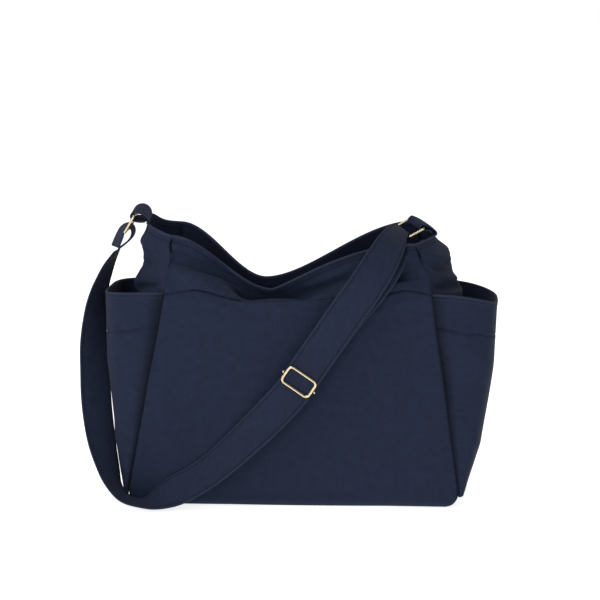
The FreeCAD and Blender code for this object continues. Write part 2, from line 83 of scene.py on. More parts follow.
def softbox(name, place, aim, size, power):
    """Square area light at place, turned towards aim; metres and watts."""
    data = bpy.data.lights.new(name, "AREA")
    data.size = size
    data.energy = power
    lamp = bpy.data.objects.new(name, data)
    lamp.location = place
    lamp.rotation_euler = (Vector(aim) - Vector(place)).to_track_quat("-Z", "Y").to_euler()
    bpy.context.scene.collection.objects.link(lamp)


softbox("overhead", (-0.7, -0.5, 2.2), (0, 0, 0.15), 1.2, 17)
softbox("front_fill", (-0.9, -2.7, 1.2), (0, 0, 0.15), 1.4, 18)
softbox("left_fill", (-2.4, -1.0, 0.9), (0, 0, 0.2), 1.2, 9)
softbox("right_fill", (1.7, -2.3, 0.8), (-0.1, 0, 0.15), 1.2, 5)
softbox("rear_rim", (0.6, 2.0, 1.9), (0, 0, 0.2), 1.4, 10)

camera_data = bpy.data.cameras.new("camera")
camera_data.sensor_width = 36
camera_data.lens = 128.9
camera = bpy.data.objects.new("camera", camera_data)
camera.location = (0.1339, -2.4158, 0.5421)
looked_at = Vector((0.0011, -0.040, 0.2289))
camera.rotation_euler = (looked_at - camera.location).to_track_quat("-Z", "Y").to_euler()
bpy.context.scene.collection.objects.link(camera)
bpy.context.scene.camera = camera
bpy.context.scene.view_settings.view_transform = "Standard"

# ======== front and back panel ==============================================
# Two big trapezoids of navy cotton canvas, wider at the foot. Each is sewn to the yoke above it and to the
# sides, right sides together, so that every seam is a groove that pulls small puckers into the cloth.
panel_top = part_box("front_panel")[1].z / MM            # 238
half_depth = -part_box("front_panel")[0].y / MM          # 73
seam_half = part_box("front_yoke")[1].x / MM             # 148.5
foot_half = 187.5
foot_round = 22.0          # at the sides; the front and back edges are crisper
foot_crease = 10.0
foot_low = 1.6            # height of the lowest row
lean = 5.5                # how much further left the foot stands than the mouth
canvas_thick = 1.6
facing_thick = 0.8
slope = (foot_half - seam_half) / panel_top


def inset(z, radius=foot_round):
    """How far the rounded bottom edge pulls the outline in at height z: a quarter circle of that radius."""
    low = np.clip(radius - z, 0, radius)
    return radius - np.sqrt(radius ** 2 - low ** 2)


def width_at(z):
    """Half width of the front panel: a straight taper, less the rounding at the foot."""
    return foot_half - slope * z - inset(z)


def drift(z):
    """The bag leans: a straight shift to the left, nothing at the panel's top and full at its foot."""
    return -lean * np.clip(1 - z / panel_top, 0, 1)


def foot_rows(top, count):
    """Heights from the foot to top: even steps of angle round the bottom edge, then even steps of height."""
    turn = np.linspace(math.acos(1 - foot_low / foot_round), math.pi / 2, 12)
    return np.concatenate([foot_round * (1 - np.cos(turn)), np.linspace(foot_round, top, count)[1:]])


def fold(a, b, start, end, width, depth):
    """Height of a soft straight fold from start to end on the chart (a, b): a bell across it, and it fades
    at its ends."""
    da, db = end[0] - start[0], end[1] - start[1]
    length = math.hypot(da, db)
    along = ((a - start[0]) * da + (b - start[1]) * db) / length ** 2
    off = ((a - start[0]) * db - (b - start[1]) * da) / length
    return depth * np.exp(-(off / width) ** 2 - (np.abs(along - 0.5) / 0.47) ** 6)


def creases(a, b, *rows):
    """Several folds on one chart, added up: each row is start, end, width and depth."""
    return sum(fold(a, b, *row) for row in rows)


def unevenness(a, b, seed, size, height):
    """Slack in cloth: six plane waves of random heading and about the given size, added up."""
    draw = np.random.default_rng(seed)
    total = np.zeros(np.shape(a + b))
    for heading, stretch, phase in zip(draw.uniform(0, math.pi, 6), draw.uniform(0.7, 1.6, 6),
                                       draw.uniform(0, 2 * math.pi, 6)):
        along = a * math.cos(heading) + b * math.sin(heading)
        total = total + np.sin(along * 2 * math.pi / (size * stretch) + phase)
    return height * total / 6


def seam_groove(distance, along, seed, depth=2.4, width=1.7, pucker=0.5):
    """Sag of cloth towards a seam: a bell on the distance from it, with small puckers that fade in 14 mm."""
    draw = np.random.default_rng(seed)
    waves = sum(np.sin(along * 2 * math.pi / pitch + draw.uniform(0, 6)) for pitch in (7.3, 11.9, 19.0)) / 3
    return depth * np.exp(-(distance / width) ** 2) + pucker * waves * np.exp(-(distance / 14.0) ** 2)


def seam_lift(x, side):
    """How far the seam under the yoke wanders up or down from its level: a few broad bells along it."""
    if side > 0:
        return (3.0 * np.exp(-((x - 96) / 30) ** 2) + 3.0 * np.exp(-((x + 104) / 30) ** 2)
                - 3 * np.exp(-(x / 60) ** 2))
    return (6.0 * np.exp(-((x + 112) / 24) ** 2) - 5.5 * np.exp(-((x + 56) / 26) ** 2)
            - 4.5 * np.exp(-((x - 4) / 40) ** 2) + 6.5 * np.exp(-((x - 120) / 24) ** 2))


def gathered(count, pull=0.36):
    """Even steps from -1 to 1, drawn together towards both ends by a cubic, for the seams' fine shape."""
    u = np.linspace(-1, 1, count)
    return (1 + pull) * u - pull * u ** 3


def unit(v):
    """The same directions at length 1."""
    return v / np.maximum(np.linalg.norm(v, axis=-1, keepdims=True), 1e-9)


def grid_normals(points):
    """Normals of a grid of points: along its rows crossed with along its columns."""
    return unit(np.cross(np.gradient(points, axis=1), np.gradient(points, axis=0)))


def arc_lengths(points):
    """Distances along the cloth, across from the middle column and up from the first row."""
    across = np.cumsum(np.linalg.norm(np.diff(points, axis=1, prepend=points[:, :1]), axis=2), axis=1)
    up = np.cumsum(np.linalg.norm(np.diff(points, axis=0, prepend=points[:1]), axis=2), axis=0)
    return across, up


def topstitched(face, below=6.0):
    """Painted shade marks of a cloth sewn in all round: along its seams, and along a stitch line a little
    below its last row.
    """
    across, up = arc_lengths(face)
    room = np.minimum(np.minimum(across, across[:, -1:] - across), up)
    return -np.maximum(0.3 * np.exp(-(room / 1.1) ** 2), 0.6 * np.exp(-((up[-1:] - up - below) / 0.9) ** 2))


def mesh_object(name, points, faces, uv, edge, material, body):
    """Smooth mesh from points in millimetres, with a UV map in metres of cloth and an edge mask."""
    data = bpy.data.meshes.new(name)
    data.from_pydata((points * MM).tolist(), [], faces.tolist())
    data.polygons.foreach_set("use_smooth", np.ones(len(faces), bool))
    corner = np.empty(len(data.loops), np.int32)
    data.loops.foreach_get("vertex_index", corner)
    layer = data.uv_layers.new(name="cloth")
    layer.data.foreach_set("uv", (uv[corner] * MM).astype(np.float32).ravel())
    mask = data.attributes.new("edge", "FLOAT", "POINT")
    mask.data.foreach_set("value", edge.astype(np.float32))
    data.materials.append(material)
    piece = bpy.data.objects.new(name, data)
    bpy.context.scene.collection.objects.link(piece)
    if body:
        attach(piece, body)
    return piece


def cloth(name, outer, thick, outward, material, body="bag", replaces=(),
          marks=None):
    """A closed sheet of cloth. The grid outer is its outer face; the inner face lies thick behind it along
    the normals, and a half round edge joins the two. Its edges get painted shade where they are sewn in,
    unless marks, one value for each point from -1 for painted seam shade to 1 for rubbed cloth with a
    painted highlight, say otherwise. Returns the outer face and its normals."""
    if (grid_normals(outer) * np.array(outward)).sum() < 0:
        outer = outer[:, ::-1]
        marks = None if marks is None else marks[:, ::-1]
    normals = grid_normals(outer)
    inner = outer - normals * thick
    rows, cols = outer.shape[:2]
    index = np.arange(rows * cols).reshape(rows, cols)
    quads = np.stack([index[:-1, :-1], index[:-1, 1:], index[1:, 1:], index[1:, :-1]], -1).reshape(-1, 4)
    ring = np.concatenate([index[0, :-1], index[:-1, -1], index[-1, :0:-1], index[:0:-1, 0]])
    out_u = unit(np.gradient(outer, axis=1))
    out_v = unit(np.gradient(outer, axis=0))
    edge_way = np.zeros_like(outer)
    edge_way[:, 0] -= out_u[:, 0]
    edge_way[:, -1] += out_u[:, -1]
    edge_way[0] -= out_v[0]
    edge_way[-1] += out_v[-1]
    flat_way = unit(edge_way).reshape(-1, 3)[ring]
    middle = ((outer + inner) / 2).reshape(-1, 3)[ring] + flat_way * thick / 2
    points = np.concatenate([outer.reshape(-1, 3), inner.reshape(-1, 3), middle])
    mid = 2 * rows * cols + np.arange(len(ring))
    ring_in = ring + rows * cols
    after = np.roll(np.arange(len(ring)), -1)
    faces = np.concatenate([quads, quads[:, ::-1] + rows * cols,
                            np.stack([ring, mid, mid[after], ring[after]], -1),
                            np.stack([mid, ring_in, ring_in[after], mid[after]], -1)])
    across, up = arc_lengths(outer)
    room = np.minimum(np.minimum(across, across[:, -1:] - across), np.minimum(up, up[-1:] - up))
    # by default, painted shade along every sewn edge
    edge = (-0.8 * np.exp(-(room / 1.2) ** 2) if marks is None else marks).ravel()
    uv = np.stack([across - across[:, -1:] / 2, up], -1).reshape(-1, 2)
    piece = mesh_object(name, points, faces, np.concatenate([uv, uv, uv[ring]]),
                        np.concatenate([edge, edge, edge[ring]]), material, body)
    if replaces:
        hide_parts(*replaces)
    return outer, normals


# The weave that all the cloth shares: threads over and under each other, thicker and thinner on their way.
weave = bpy.data.node_groups.new("plain_weave", "ShaderNodeTree")
weave.interface.new_socket("Cloth", in_out="INPUT", socket_type="NodeSocketVector")
weave.interface.new_socket("Threads per metre", in_out="INPUT", socket_type="NodeSocketFloat")
weave.interface.new_socket("Height", in_out="OUTPUT", socket_type="NodeSocketFloat")
weave.interface.new_socket("Shade", in_out="OUTPUT", socket_type="NodeSocketFloat")
links = weave.links


def put(tree, kind, **values):
    """A node of that kind; values go to the node's own settings or, failing that, to its input sockets."""
    node = tree.nodes.new(kind)
    for key, value in values.items():
        if hasattr(node, key):
            setattr(node, key, value)
        else:
            node.inputs[key].default_value = value
    return node


def maths(tree, operation, first, second=None):
    """A Math node on one or two inputs, each a socket or a number."""
    node = tree.nodes.new("ShaderNodeMath")
    node.operation = operation
    for socket, value in zip(node.inputs, (first, second)):
        if isinstance(value, (int, float)):
            socket.default_value = value
        elif value is not None:
            tree.links.new(value, socket)
    return node.outputs[0]


def mixed(tree, share, first, second):
    """The colour that lies between first and second by share; each is a plain colour or a socket."""
    node = put(tree, "ShaderNodeMix", data_type="RGBA")
    for socket, value in zip(node.inputs[6:8], (first, second)):
        if isinstance(value, tuple):
            socket.default_value = (*value, 1)
        else:
            tree.links.new(value, socket)
    tree.links.new(share, node.inputs[0])
    return node.outputs[2]


def ranged(tree, share, low, high):
    """A number that runs from low to high as share runs from 0 to 1."""
    node = tree.nodes.new("ShaderNodeMapRange")
    node.inputs["To Min"].default_value = low
    node.inputs["To Max"].default_value = high
    tree.links.new(share, node.inputs["Value"])
    return node.outputs["Result"]


given = put(weave, "NodeGroupInput")
result = put(weave, "NodeGroupOutput")
threads = put(weave, "ShaderNodeVectorMath", operation="SCALE")
links.new(given.outputs["Cloth"], threads.inputs[0])
links.new(given.outputs["Threads per metre"], threads.inputs["Scale"])
split = put(weave, "ShaderNodeSeparateXYZ")
links.new(threads.outputs[0], split.inputs[0])
warp = maths(weave, "SINE", maths(weave, "MULTIPLY", split.outputs["X"], math.pi))
weft = maths(weave, "SINE", maths(weave, "MULTIPLY", split.outputs["Y"], math.pi))
over = maths(weave, "MULTIPLY_ADD", maths(weave, "MULTIPLY", warp, weft), 0.5)
over.node.inputs[2].default_value = 0.5
slubs = []
for stretch in ((0.9, 0.04, 1), (0.04, 0.9, 1)):
    pull = put(weave, "ShaderNodeVectorMath", operation="MULTIPLY")
    pull.inputs[1].default_value = stretch
    links.new(threads.outputs[0], pull.inputs[0])
    noise = put(weave, "ShaderNodeTexNoise", Scale=1.0, Detail=2.0)
    links.new(pull.outputs[0], noise.inputs["Vector"])
    slubs.append(noise.outputs["Fac"])
slub = maths(weave, "MULTIPLY", maths(weave, "ADD", slubs[0], slubs[1]), 0.5)
links.new(maths(weave, "ADD", maths(weave, "MULTIPLY", over, 0.6), maths(weave, "MULTIPLY", slub, 0.6)),
          result.inputs["Height"])
cloudy = put(weave, "ShaderNodeTexNoise", Scale=110.0, Detail=3.0)
links.new(given.outputs["Cloth"], cloudy.inputs["Vector"])
shade = maths(weave, "ADD", maths(weave, "MULTIPLY", over, 0.35), maths(weave, "MULTIPLY", slub, 0.55))
mottle = maths(weave, "MULTIPLY_ADD", cloudy.outputs["Fac"], 0.65)
mottle.node.inputs[2].default_value = -0.2
links.new(maths(weave, "ADD", shade, mottle), result.inputs["Shade"])


def woven(name, dark, light, wear_and_highlight_colour, threads_per_metre, bump=0.00025, roughness=0.85, sheen=0.03):
    """Woven cloth: thread colour between dark and light, paler where its edge mask is above 0, for rubbed
    wear with a painted highlight, and darker where it is below, for painted shade in seams and stitch lines."""
    material = bpy.data.materials.new(name)
    material.use_nodes = True
    tree = material.node_tree
    skin = tree.nodes["Principled BSDF"]
    skin.inputs["Sheen Weight"].default_value = sheen
    skin.inputs["Sheen Roughness"].default_value = 0.45
    skin.inputs["Specular IOR Level"].default_value = 0.10
    where = put(tree, "ShaderNodeUVMap", uv_map="cloth")
    group = put(tree, "ShaderNodeGroup", node_tree=weave)
    group.inputs["Threads per metre"].default_value = threads_per_metre
    tree.links.new(where.outputs["UV"], group.inputs["Cloth"])
    tone = mixed(tree, group.outputs["Shade"], dark, light)
    mask = put(tree, "ShaderNodeAttribute", attribute_name="edge").outputs["Fac"]
    # paler where the mask is above 0: partly rubbed wear, partly a painted highlight on lit edges
    tone_with_wear_and_highlight = mixed(tree, maths(tree, "MULTIPLY", mask, group.outputs["Height"]), tone, wear_and_highlight_colour)
    # darker where the mask is below 0: painted shade in seam and stitch grooves
    seam_shade = (dark[0] * 0.2, dark[1] * 0.2, dark[2] * 0.2)
    painted_seam_shading = mixed(tree, maths(tree, "MULTIPLY", mask, -0.85), tone_with_wear_and_highlight, seam_shade)
    tree.links.new(painted_seam_shading, skin.inputs["Base Color"])
    rough = ranged(tree, group.outputs["Height"], roughness + 0.08, roughness - 0.12)
    tree.links.new(rough, skin.inputs["Roughness"])
    relief = put(tree, "ShaderNodeBump", Strength=0.9, Distance=bump)
    tree.links.new(group.outputs["Height"], relief.inputs["Height"])
    tree.links.new(relief.outputs["Normal"], skin.inputs["Normal"])
    return material


canvas = woven("navy_canvas", (0.0080, 0.0117, 0.0265), (0.0182, 0.0254, 0.053), (0.055, 0.066, 0.105),
               1150)
thread = woven("navy_thread", (0.020, 0.026, 0.050), (0.045, 0.054, 0.090), (0.050, 0.058, 0.095), 2600,
               0.0001)


def stitches(name, path, normals, pitch=3.1, body="bag"):
    """A row of lock stitches along a path on cloth: short five sided grains, sunk half way in."""
    step = np.linalg.norm(np.diff(path, axis=0), axis=1)
    run = np.concatenate([[0], np.cumsum(step)])
    count = int(run[-1] / pitch)
    at = (np.arange(count) + 0.5) * pitch
    centre = np.stack([np.interp(at, run, path[:, k]) for k in range(3)], -1)
    ahead = np.stack([np.interp(at + 0.4, run, path[:, k]) for k in range(3)], -1)
    up = unit(np.stack([np.interp(at, run, normals[:, k]) for k in range(3)], -1))
    way = unit(ahead - centre)
    aside = np.cross(up, way)
    turn = np.arange(5) * 2 * math.pi / 5
    profile = ((-1.15, 0.05), (-0.75, 0.3), (0.75, 0.3), (1.15, 0.05))     # way along the stitch, radius
    rings = [centre[:, None] + way[:, None] * s + r * (aside[:, None] * np.cos(turn)[:, None]
             + up[:, None] * np.sin(turn)[:, None]) for s, r in profile]
    points = np.stack(rings, 1)
    ring_of = np.arange(4 * 5).reshape(4, 5)
    next_of = np.roll(ring_of, -1, 1)
    quads = np.stack([ring_of[:-1], next_of[:-1], next_of[1:], ring_of[1:]], -1)
    faces = (np.arange(count)[:, None, None] * 20 + quads.reshape(1, -1, 4)).reshape(-1, 4)
    flat = points.reshape(-1, 3)
    uv = np.stack([np.tile(turn / 5, count * 4), np.repeat(np.tile([0, .4, 1.9, 2.3], count), 5)], -1)
    return mesh_object(name, flat, faces, uv, np.zeros(len(flat)), thread, body)


def panel_face(side, depth=0.0, top=panel_top, trim=0.0, cols=170, rows=100):
    """Flat wall with a slight belly. Its edges sink into the seams; its top follows the seam's wander."""
    z = foot_rows(top, rows)
    z = np.concatenate([z[:-1], z[-2] + (z[-1] - z[-2]) * np.linspace(0.25, 1, 4)])[:, None]
    z = np.concatenate([z[:-8], np.linspace(z[-8], z[-1], 16)])
    u = gathered(cols)[None, :]
    half = width_at(z) - trim
    x = half * u
    height = z + seam_lift(x, side) * np.clip(z / panel_top, 0, 1) ** 7
    belly = 3.0 * (1 - u ** 4) * np.sin(math.pi * np.clip(z / panel_top, 0, 1)) ** 0.8
    sink = seam_groove((1 - np.abs(u)) * half, height, 11 if side < 0 else 12)
    sink = sink + seam_groove(top - z, x, 13 if side < 0 else 14, depth=1.8)
    sink = sink + unevenness(x, height * 1.3, 15 if side < 0 else 16, 130, 1.6)
    y = side * (half_depth - inset(z, foot_crease) + belly - sink - depth)
    return np.stack([x + drift(z), y + 0 * x, height], -1)


# Its soft creases are drag lines that leave the seam's ends, and dents from the strap's weight.
front = panel_face(-1)
front[..., 1] -= creases(
    front[..., 0], front[..., 2],
    ((-146, 236), (-60, 222), 5.5, 1.6), ((-120, 232), (-20, 214), 9.0, -1.5),
    ((140, 236), (60, 215), 6.0, 1.4), ((118, 226), (30, 226), 6.0, -1.2),
    ((-160, 150), (-128, 40), 10.0, 1.6), ((160, 160), (138, 30), 12.0, 1.5),
    ((-90, 12), (100, 18), 8.0, -1.0))
cloth("front_panel_cloth", front, canvas_thick, (0, -1, 0), canvas, replaces=["front_panel"])
back = panel_face(1)
back[..., 1] += creases(back[..., 0], back[..., 2], ((-120, 228), (-10, 200), 8, -1.5),
                        ((130, 230), (40, 190), 9, 1.6))
cloth("back_panel_cloth", back, canvas_thick, (0, 1, 0), canvas, replaces=["back_panel"])

# ======== yokes =============================================================
# The bands of canvas above the panels, up to the rim. The mouth is pinched: in the middle each yoke drops in
# behind the top of its panel and comes up again, so that a valley runs from the side seams to the middle.
mouth_half = 50.0
corner_left, corner_right = -142.0, 130.0
front_rise, back_rise = (62.0, 54.0), (68.0, 70.5)
front_dip, back_dip = (-30.0, -42.0, 2.2), (-40.0, 14.0, 9.0)


def ease(t):
    """Smooth rise from 0 to 1."""
    return t * t * (3 - 2 * t)


def rim_line(side, u):
    """The rim from the left corner, u = 0, to the right, u = 1: an S-curve down to the dip, and one up."""
    dip, rise, droop = (front_dip, front_rise, 0.65) if side < 0 else (back_dip, back_rise, 0.92)
    x = corner_left + (corner_right - corner_left) * u
    left = ease(np.clip((dip[0] - x) / (dip[0] - corner_left), 0, 1))
    right = ease(np.clip((x - dip[0]) / (corner_right - dip[0]), 0, 1) ** droop)
    climb = np.where(x < dip[0], left, right)
    corner = np.where(x < dip[0], rise[0], rise[1])
    y = dip[1] + (side * mouth_half - dip[1]) * climb
    z = panel_top + dip[2] + (corner - dip[2]) * climb
    return np.stack([x, y, z], -1)


def right_seam_bend(v):
    """How far the slack front right seam leans outwards: a bell on its height v."""
    return 5.5 * np.exp(-((v - 0.42) / 0.24) ** 2)


def yoke_face(side, depth=0.0, start=0.0, end=1.0, trim=0.0, rows=60, cols=150):
    """Straight from the seam up to the rim, and pushed in by a valley: up the yoke it follows
    sin(pi v^1.36), and along the yoke a bell round its middle."""
    u = 0.5 + 0.5 * gathered(cols) * (1 - 2 * trim)
    v = (start + (end - start) * (0.5 + 0.5 * gathered(rows, 0.3)))[:, None, None]
    foot_x = seam_half * (2 * u - 1)
    foot_z = panel_top + 0.8 + seam_lift(foot_x, side)
    foot = np.stack([foot_x, np.full(cols, side * half_depth), foot_z], -1)
    rim = rim_line(side, u)
    points = foot + (rim - foot) * v
    if side < 0:
        points[..., 0] += right_seam_bend(v[..., 0]) * np.clip(u, 0, 1) ** 8
    x = points[..., 0]
    spread = np.where(x < -30, 62.0, 74.0)
    drop = (26.0 if side < 0 else 17.0) * np.exp(-(np.abs(x + 30) / spread) ** 2) + 1.5
    bump = drop * np.sin(math.pi * np.clip(v[..., 0], 0, 1) ** 1.36)
    points[..., 1] -= side * bump * 0.62
    points[..., 2] -= bump * 0.78
    edge = np.minimum(u, 1 - u) * (corner_right - corner_left)
    sink = seam_groove(edge[None, :], points[..., 2], 21 if side < 0 else 22)
    up = v[..., 0] * 60
    sink = sink + seam_groove(up, x, 23 if side < 0 else 24, depth=1.8)
    sink = sink + depth
    slack = unevenness(x, points[..., 2], 25 if side < 0 else 26, 60, 1.3) * np.sin(math.pi * v[..., 0])
    normals = grid_normals(points)
    if normals[..., 1].mean() * side < 0:
        normals = -normals
    return points - normals * (sink + slack)[..., None]


yoke = yoke_face(-1)
push = creases(
    yoke[..., 0], yoke[..., 2],
    ((-143, 282), (-50, 238), 5.0, -9.5), ((-140, 264), (-60, 238), 8.0, 9.0),
    ((-126, 294), (-62, 262), 6.0, 4.0), ((128, 286), (92, 252), 4.5, 6.5),
    ((134, 264), (84, 250), 4.0, -6.5), ((122, 254), (60, 243), 4.5, 4.5),
    ((70, 270), (5, 240), 7.0, 4.0), ((60, 255), (0, 236), 5.0, -4.0))
yoke_normals = grid_normals(yoke)
yoke_normals *= -np.sign(yoke_normals[..., 1].mean())
yoke = yoke + yoke_normals * push[..., None]
front_yoke = cloth("front_yoke_cloth", yoke, canvas_thick, (0, -1, 0), canvas, replaces=["front_yoke"],
                   marks=topstitched(yoke))
yoke = yoke_face(1)
back_yoke = cloth("back_yoke_cloth", yoke, canvas_thick, (0, 1, 0), canvas, replaces=["back_yoke"],
                  marks=topstitched(yoke))
for name, side in (("front", -1), ("back", 1)):
    turned_in = yoke_face(side, depth=2.0, start=0.16, end=0.985, trim=0.004, rows=30, cols=90)
    cloth(name + "_facing_cloth", turned_in, facing_thick, (0, side, 0), canvas, replaces=[name + "_facing"])

# ======== sides =============================================================
# A long gusset on each side, from the base to the mouth, sewn between front and back. Above the pouch it is
# slack, so its front half wraps forward and a fold runs down its middle.
crown_left, crown_right = -174.0, 151.0
crown_rise = (73.0, 61.0)
bulge_low, bulge_high = 2.0, 35.0
side_reach = half_depth - 2.3


def side_top(side, w):
    """The rim across the top of one side, from the front seam, w = -1, over the crown to the back, w = 1."""
    k = 0 if side < 0 else 1
    corner, crown = (corner_left, crown_left) if side < 0 else (corner_right, crown_right)
    ends = np.where(w < 0, front_rise[k], back_rise[k])
    x = corner + (crown - corner) * (1 - w ** 2)
    z = panel_top + ends + (crown_rise[k] - ends) * (1 - np.abs(w) ** 1.5)
    if side < 0:
        z = z + 8.0 * np.exp(-((w - 0.3) / 0.3) ** 2)       # the left side stands up behind its tab
    return np.stack([x, mouth_half * w, z], -1)


def side_face(side, depth=0.0, top_share=1.0, pinch=0.0, rows=70, cols=100):
    """Bulging wall up to the seam's height, then a ruled surface up to the rim."""
    w = gathered(cols, 0.3)[None, :]
    z = foot_rows(panel_top, rows)[:, None]
    bulge = bulge_low + (bulge_high - bulge_low) * z / panel_top
    x = side * (width_at(z) + bulge * (1 - w ** 2) - depth)
    lower = np.stack([x + drift(z), (side_reach - inset(z, foot_crease) - pinch) * w, z + 0 * w], -1)
    v = top_share * (0.5 + 0.5 * gathered(64, 0.3))[1:, None, None]
    foot = lower[-1][None]
    rim = side_top(side, w[0])[None].copy()
    rim[..., 0] -= side * depth
    rim[..., 1] *= 1 - pinch / mouth_half
    upper = foot + (rim - foot) * v
    if side > 0:
        upper[..., 0] += right_seam_bend(v[..., 0]) * np.clip(-w, 0, 1) ** 4
    points = np.concatenate([lower, upper])
    reach_here = np.abs(points[:, :1, 1])
    sink = seam_groove((1 - np.abs(w)) * reach_here, points[..., 2], 31 if side < 0 else 32, depth=2.0)
    slack = unevenness(points[..., 1], points[..., 2], 33 if side < 0 else 34, 55, 1.6) * (1 - w ** 2)
    points[..., 0] -= side * (sink + slack)
    return points


left_creases = (
    ((-60, 291), (40, 291), 9.0, 5.5), ((-66, 246), (50, 246), 12.0, 6.5),
    ((-50, 269), (-6, 266), 4.0, -2.5), ((-30, 305), (-24, 236), 6.0, 4.0),
    ((-8, 284), (-4, 236), 7.0, -8.0), ((-64, 246), (-26, 241), 5.0, -6.0),
    ((24, 290), (30, 236), 10.0, 3.0))
right_creases = (
    ((-60, 282), (50, 282), 9.0, 8.5), ((-60, 266), (50, 266), 7.0, 3.0),
    ((-56, 268), (-2, 262), 4.0, -6.5), ((-52, 280), (-14, 273), 4.5, 4.0),
    ((-48, 256), (-10, 252), 4.0, 3.0), ((-64, 247), (-6, 243), 4.5, -7.0),
    ((0, 300), (6, 240), 8.0, -6.0), ((26, 290), (34, 240), 10.0, 3.0))


def side_folds(side, y, z):
    """Folds of the slack gusset, outward positive, on its own chart of depth and height."""
    return creases(y, z, *(left_creases if side < 0 else right_creases))


for name, side in (("left", -1), ("right", 1)):
    face = side_face(side)
    face[..., 0] += side * side_folds(side, face[..., 1], face[..., 2])
    cloth(name + "_gusset_cloth", face, canvas_thick, (side, 0, 0), canvas, replaces=[name + "_gusset"],
          marks=topstitched(face))

# ======== rolled rim ========================================================
# All round the mouth the canvas is turned in and topstitched, so that its edge stands up as a small firm
# roll over both yokes and both gussets.


def tube(name, path, radius, material, body="bag", closed=True, sides=12, flatten=1.0,
         up=(0, 0, 1)):
    """A bead carried along a path; its profile is a circle, narrower across than up by the share flatten."""
    ahead = np.roll(path, -1, 0) - np.roll(path, 1, 0) if closed else np.gradient(path, axis=0)
    way = unit(ahead)
    aside = unit(np.cross(way, np.array(up, float)))
    rise = np.cross(aside, way)
    turn = np.arange(sides) * 2 * math.pi / sides
    rings = path[:, None] + radius * (flatten * aside[:, None] * np.cos(turn)[:, None]
                                      + rise[:, None] * np.sin(turn)[:, None])
    count = len(path)
    index = np.arange(count * sides).reshape(count, sides)
    last = None if closed else -1
    here, then = index[:last], np.roll(index, -1, 0)[:last]
    faces = np.stack([here, then, np.roll(then, -1, 1), np.roll(here, -1, 1)], -1).reshape(-1, 4)
    points = rings.reshape(-1, 3)
    run = np.cumsum(np.linalg.norm(np.diff(path, axis=0, prepend=path[:1]), axis=1))
    uv = np.stack([np.tile(turn * radius, count), np.repeat(run, sides)], -1)
    if not closed:
        points = np.concatenate([points, path[:1], path[-1:]])
        uv = np.concatenate([uv, uv[:1], uv[-1:]])
        start, end = count * sides, count * sides + 1
        ring = np.arange(sides)
        cap = [np.stack([np.full(sides, start), ring, np.roll(ring, -1), np.roll(ring, -1)], -1),
               np.stack([np.full(sides, end), index[-1][np.roll(ring, -1)], index[-1], index[-1]], -1)]
        faces = [tuple(f) for f in faces] + [tuple(f[:3]) for c in cap for f in c]
        faces = np.array(faces, dtype=object)
    # canvas beads are made paler all over by a mask of 0.4: rubbed wear with a painted highlight on the
    # rolled edge
    return mesh_object(name, points, faces, uv, np.full(len(points), 0.4), material, body)


t = np.linspace(0, 1, 160)[:-1]
w = np.linspace(-1, 1, 50)[:-1]
mouth = np.concatenate([rim_line(-1, t), side_top(1, w), rim_line(1, 1 - t), side_top(-1, -w)])
mouth[..., 2] += 0.4
tube("mouth_rolled_edge", mouth, 1.7, canvas, flatten=0.95)

# ======== side pouches ======================================================
# An open canvas pouch over each side, sewn into the same seams, boxy in plan. Its rim is turned in, 36 mm
# deep at the seams and 47 further out, and the stitching that holds the turning shows as a wavy line.
pouch_low, pouch_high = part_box("left_pocket")[0].z / MM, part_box("left_pocket")[1].z / MM + 3.6
pouch_foot, pouch_rim_right = 191.5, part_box("right_pocket")[1].x / MM + 2.0
pouch_rim_left = pouch_rim_right - 4.0
pouch_band, pouch_band_outer = 36.0, 47.0


def pouch_reach(side, z):
    """Centre plane to the pouch's outside: it swells out quickly above the foot, the right one more so."""
    s = np.clip((z - pouch_low) / (pouch_high - pouch_low), 0, 1)
    rim, swell = (pouch_rim_right, 2.4) if side > 0 else (pouch_rim_left, 1.7)
    return pouch_foot + (rim - pouch_foot) * (1 - (1 - s) ** swell)


def pouch_face(side, depth=0.0, low=None, high=None, span=90.0, rows=150, cols=150):
    """Wall of the pouch, from seam to seam: in plan a superellipse whose power is 2 / 0.4."""
    low, high = low or pouch_low, high or pouch_high
    z = np.concatenate([np.linspace(low, low + 8, 6)[:-1], np.linspace(low + 8, high, rows)])[:, None]
    a = np.radians(np.linspace(-span, span, cols))[None, :]
    power = np.where(a > 0, 0.62, 0.4) if side > 0 else 0.4     # the right one is slack at its back corner
    outward = np.abs(np.cos(a)) ** power
    along = np.sign(a) * np.abs(np.sin(a)) ** power
    start = width_at(z) + 0.3
    x = side * (start + (pouch_reach(side, z) - start - depth) * outward) + drift(z)
    y = (half_depth - inset(z, foot_crease) - depth) * along
    sag = (11.0 if side > 0 else 1.0) * np.clip((z - low) / (pouch_high - low), 0, 1) ** 6 * outward ** 2.2
    return np.stack([x, y, z - sag], -1)


def pouch_folds(lateral, depth, z):
    """Creases of a pouch, outward positive, by distance out from the bag, depth and height."""
    front_part = np.exp(-((depth + half_depth) / 40.0) ** 2)
    return front_part * creases(lateral, z, ((4, 205), (60, 150), 14.0, 1.5),
                                ((10, 60), (40, 170), 12.0, -1.5), ((2, 120), (34, 60), 9.0, 1.4))


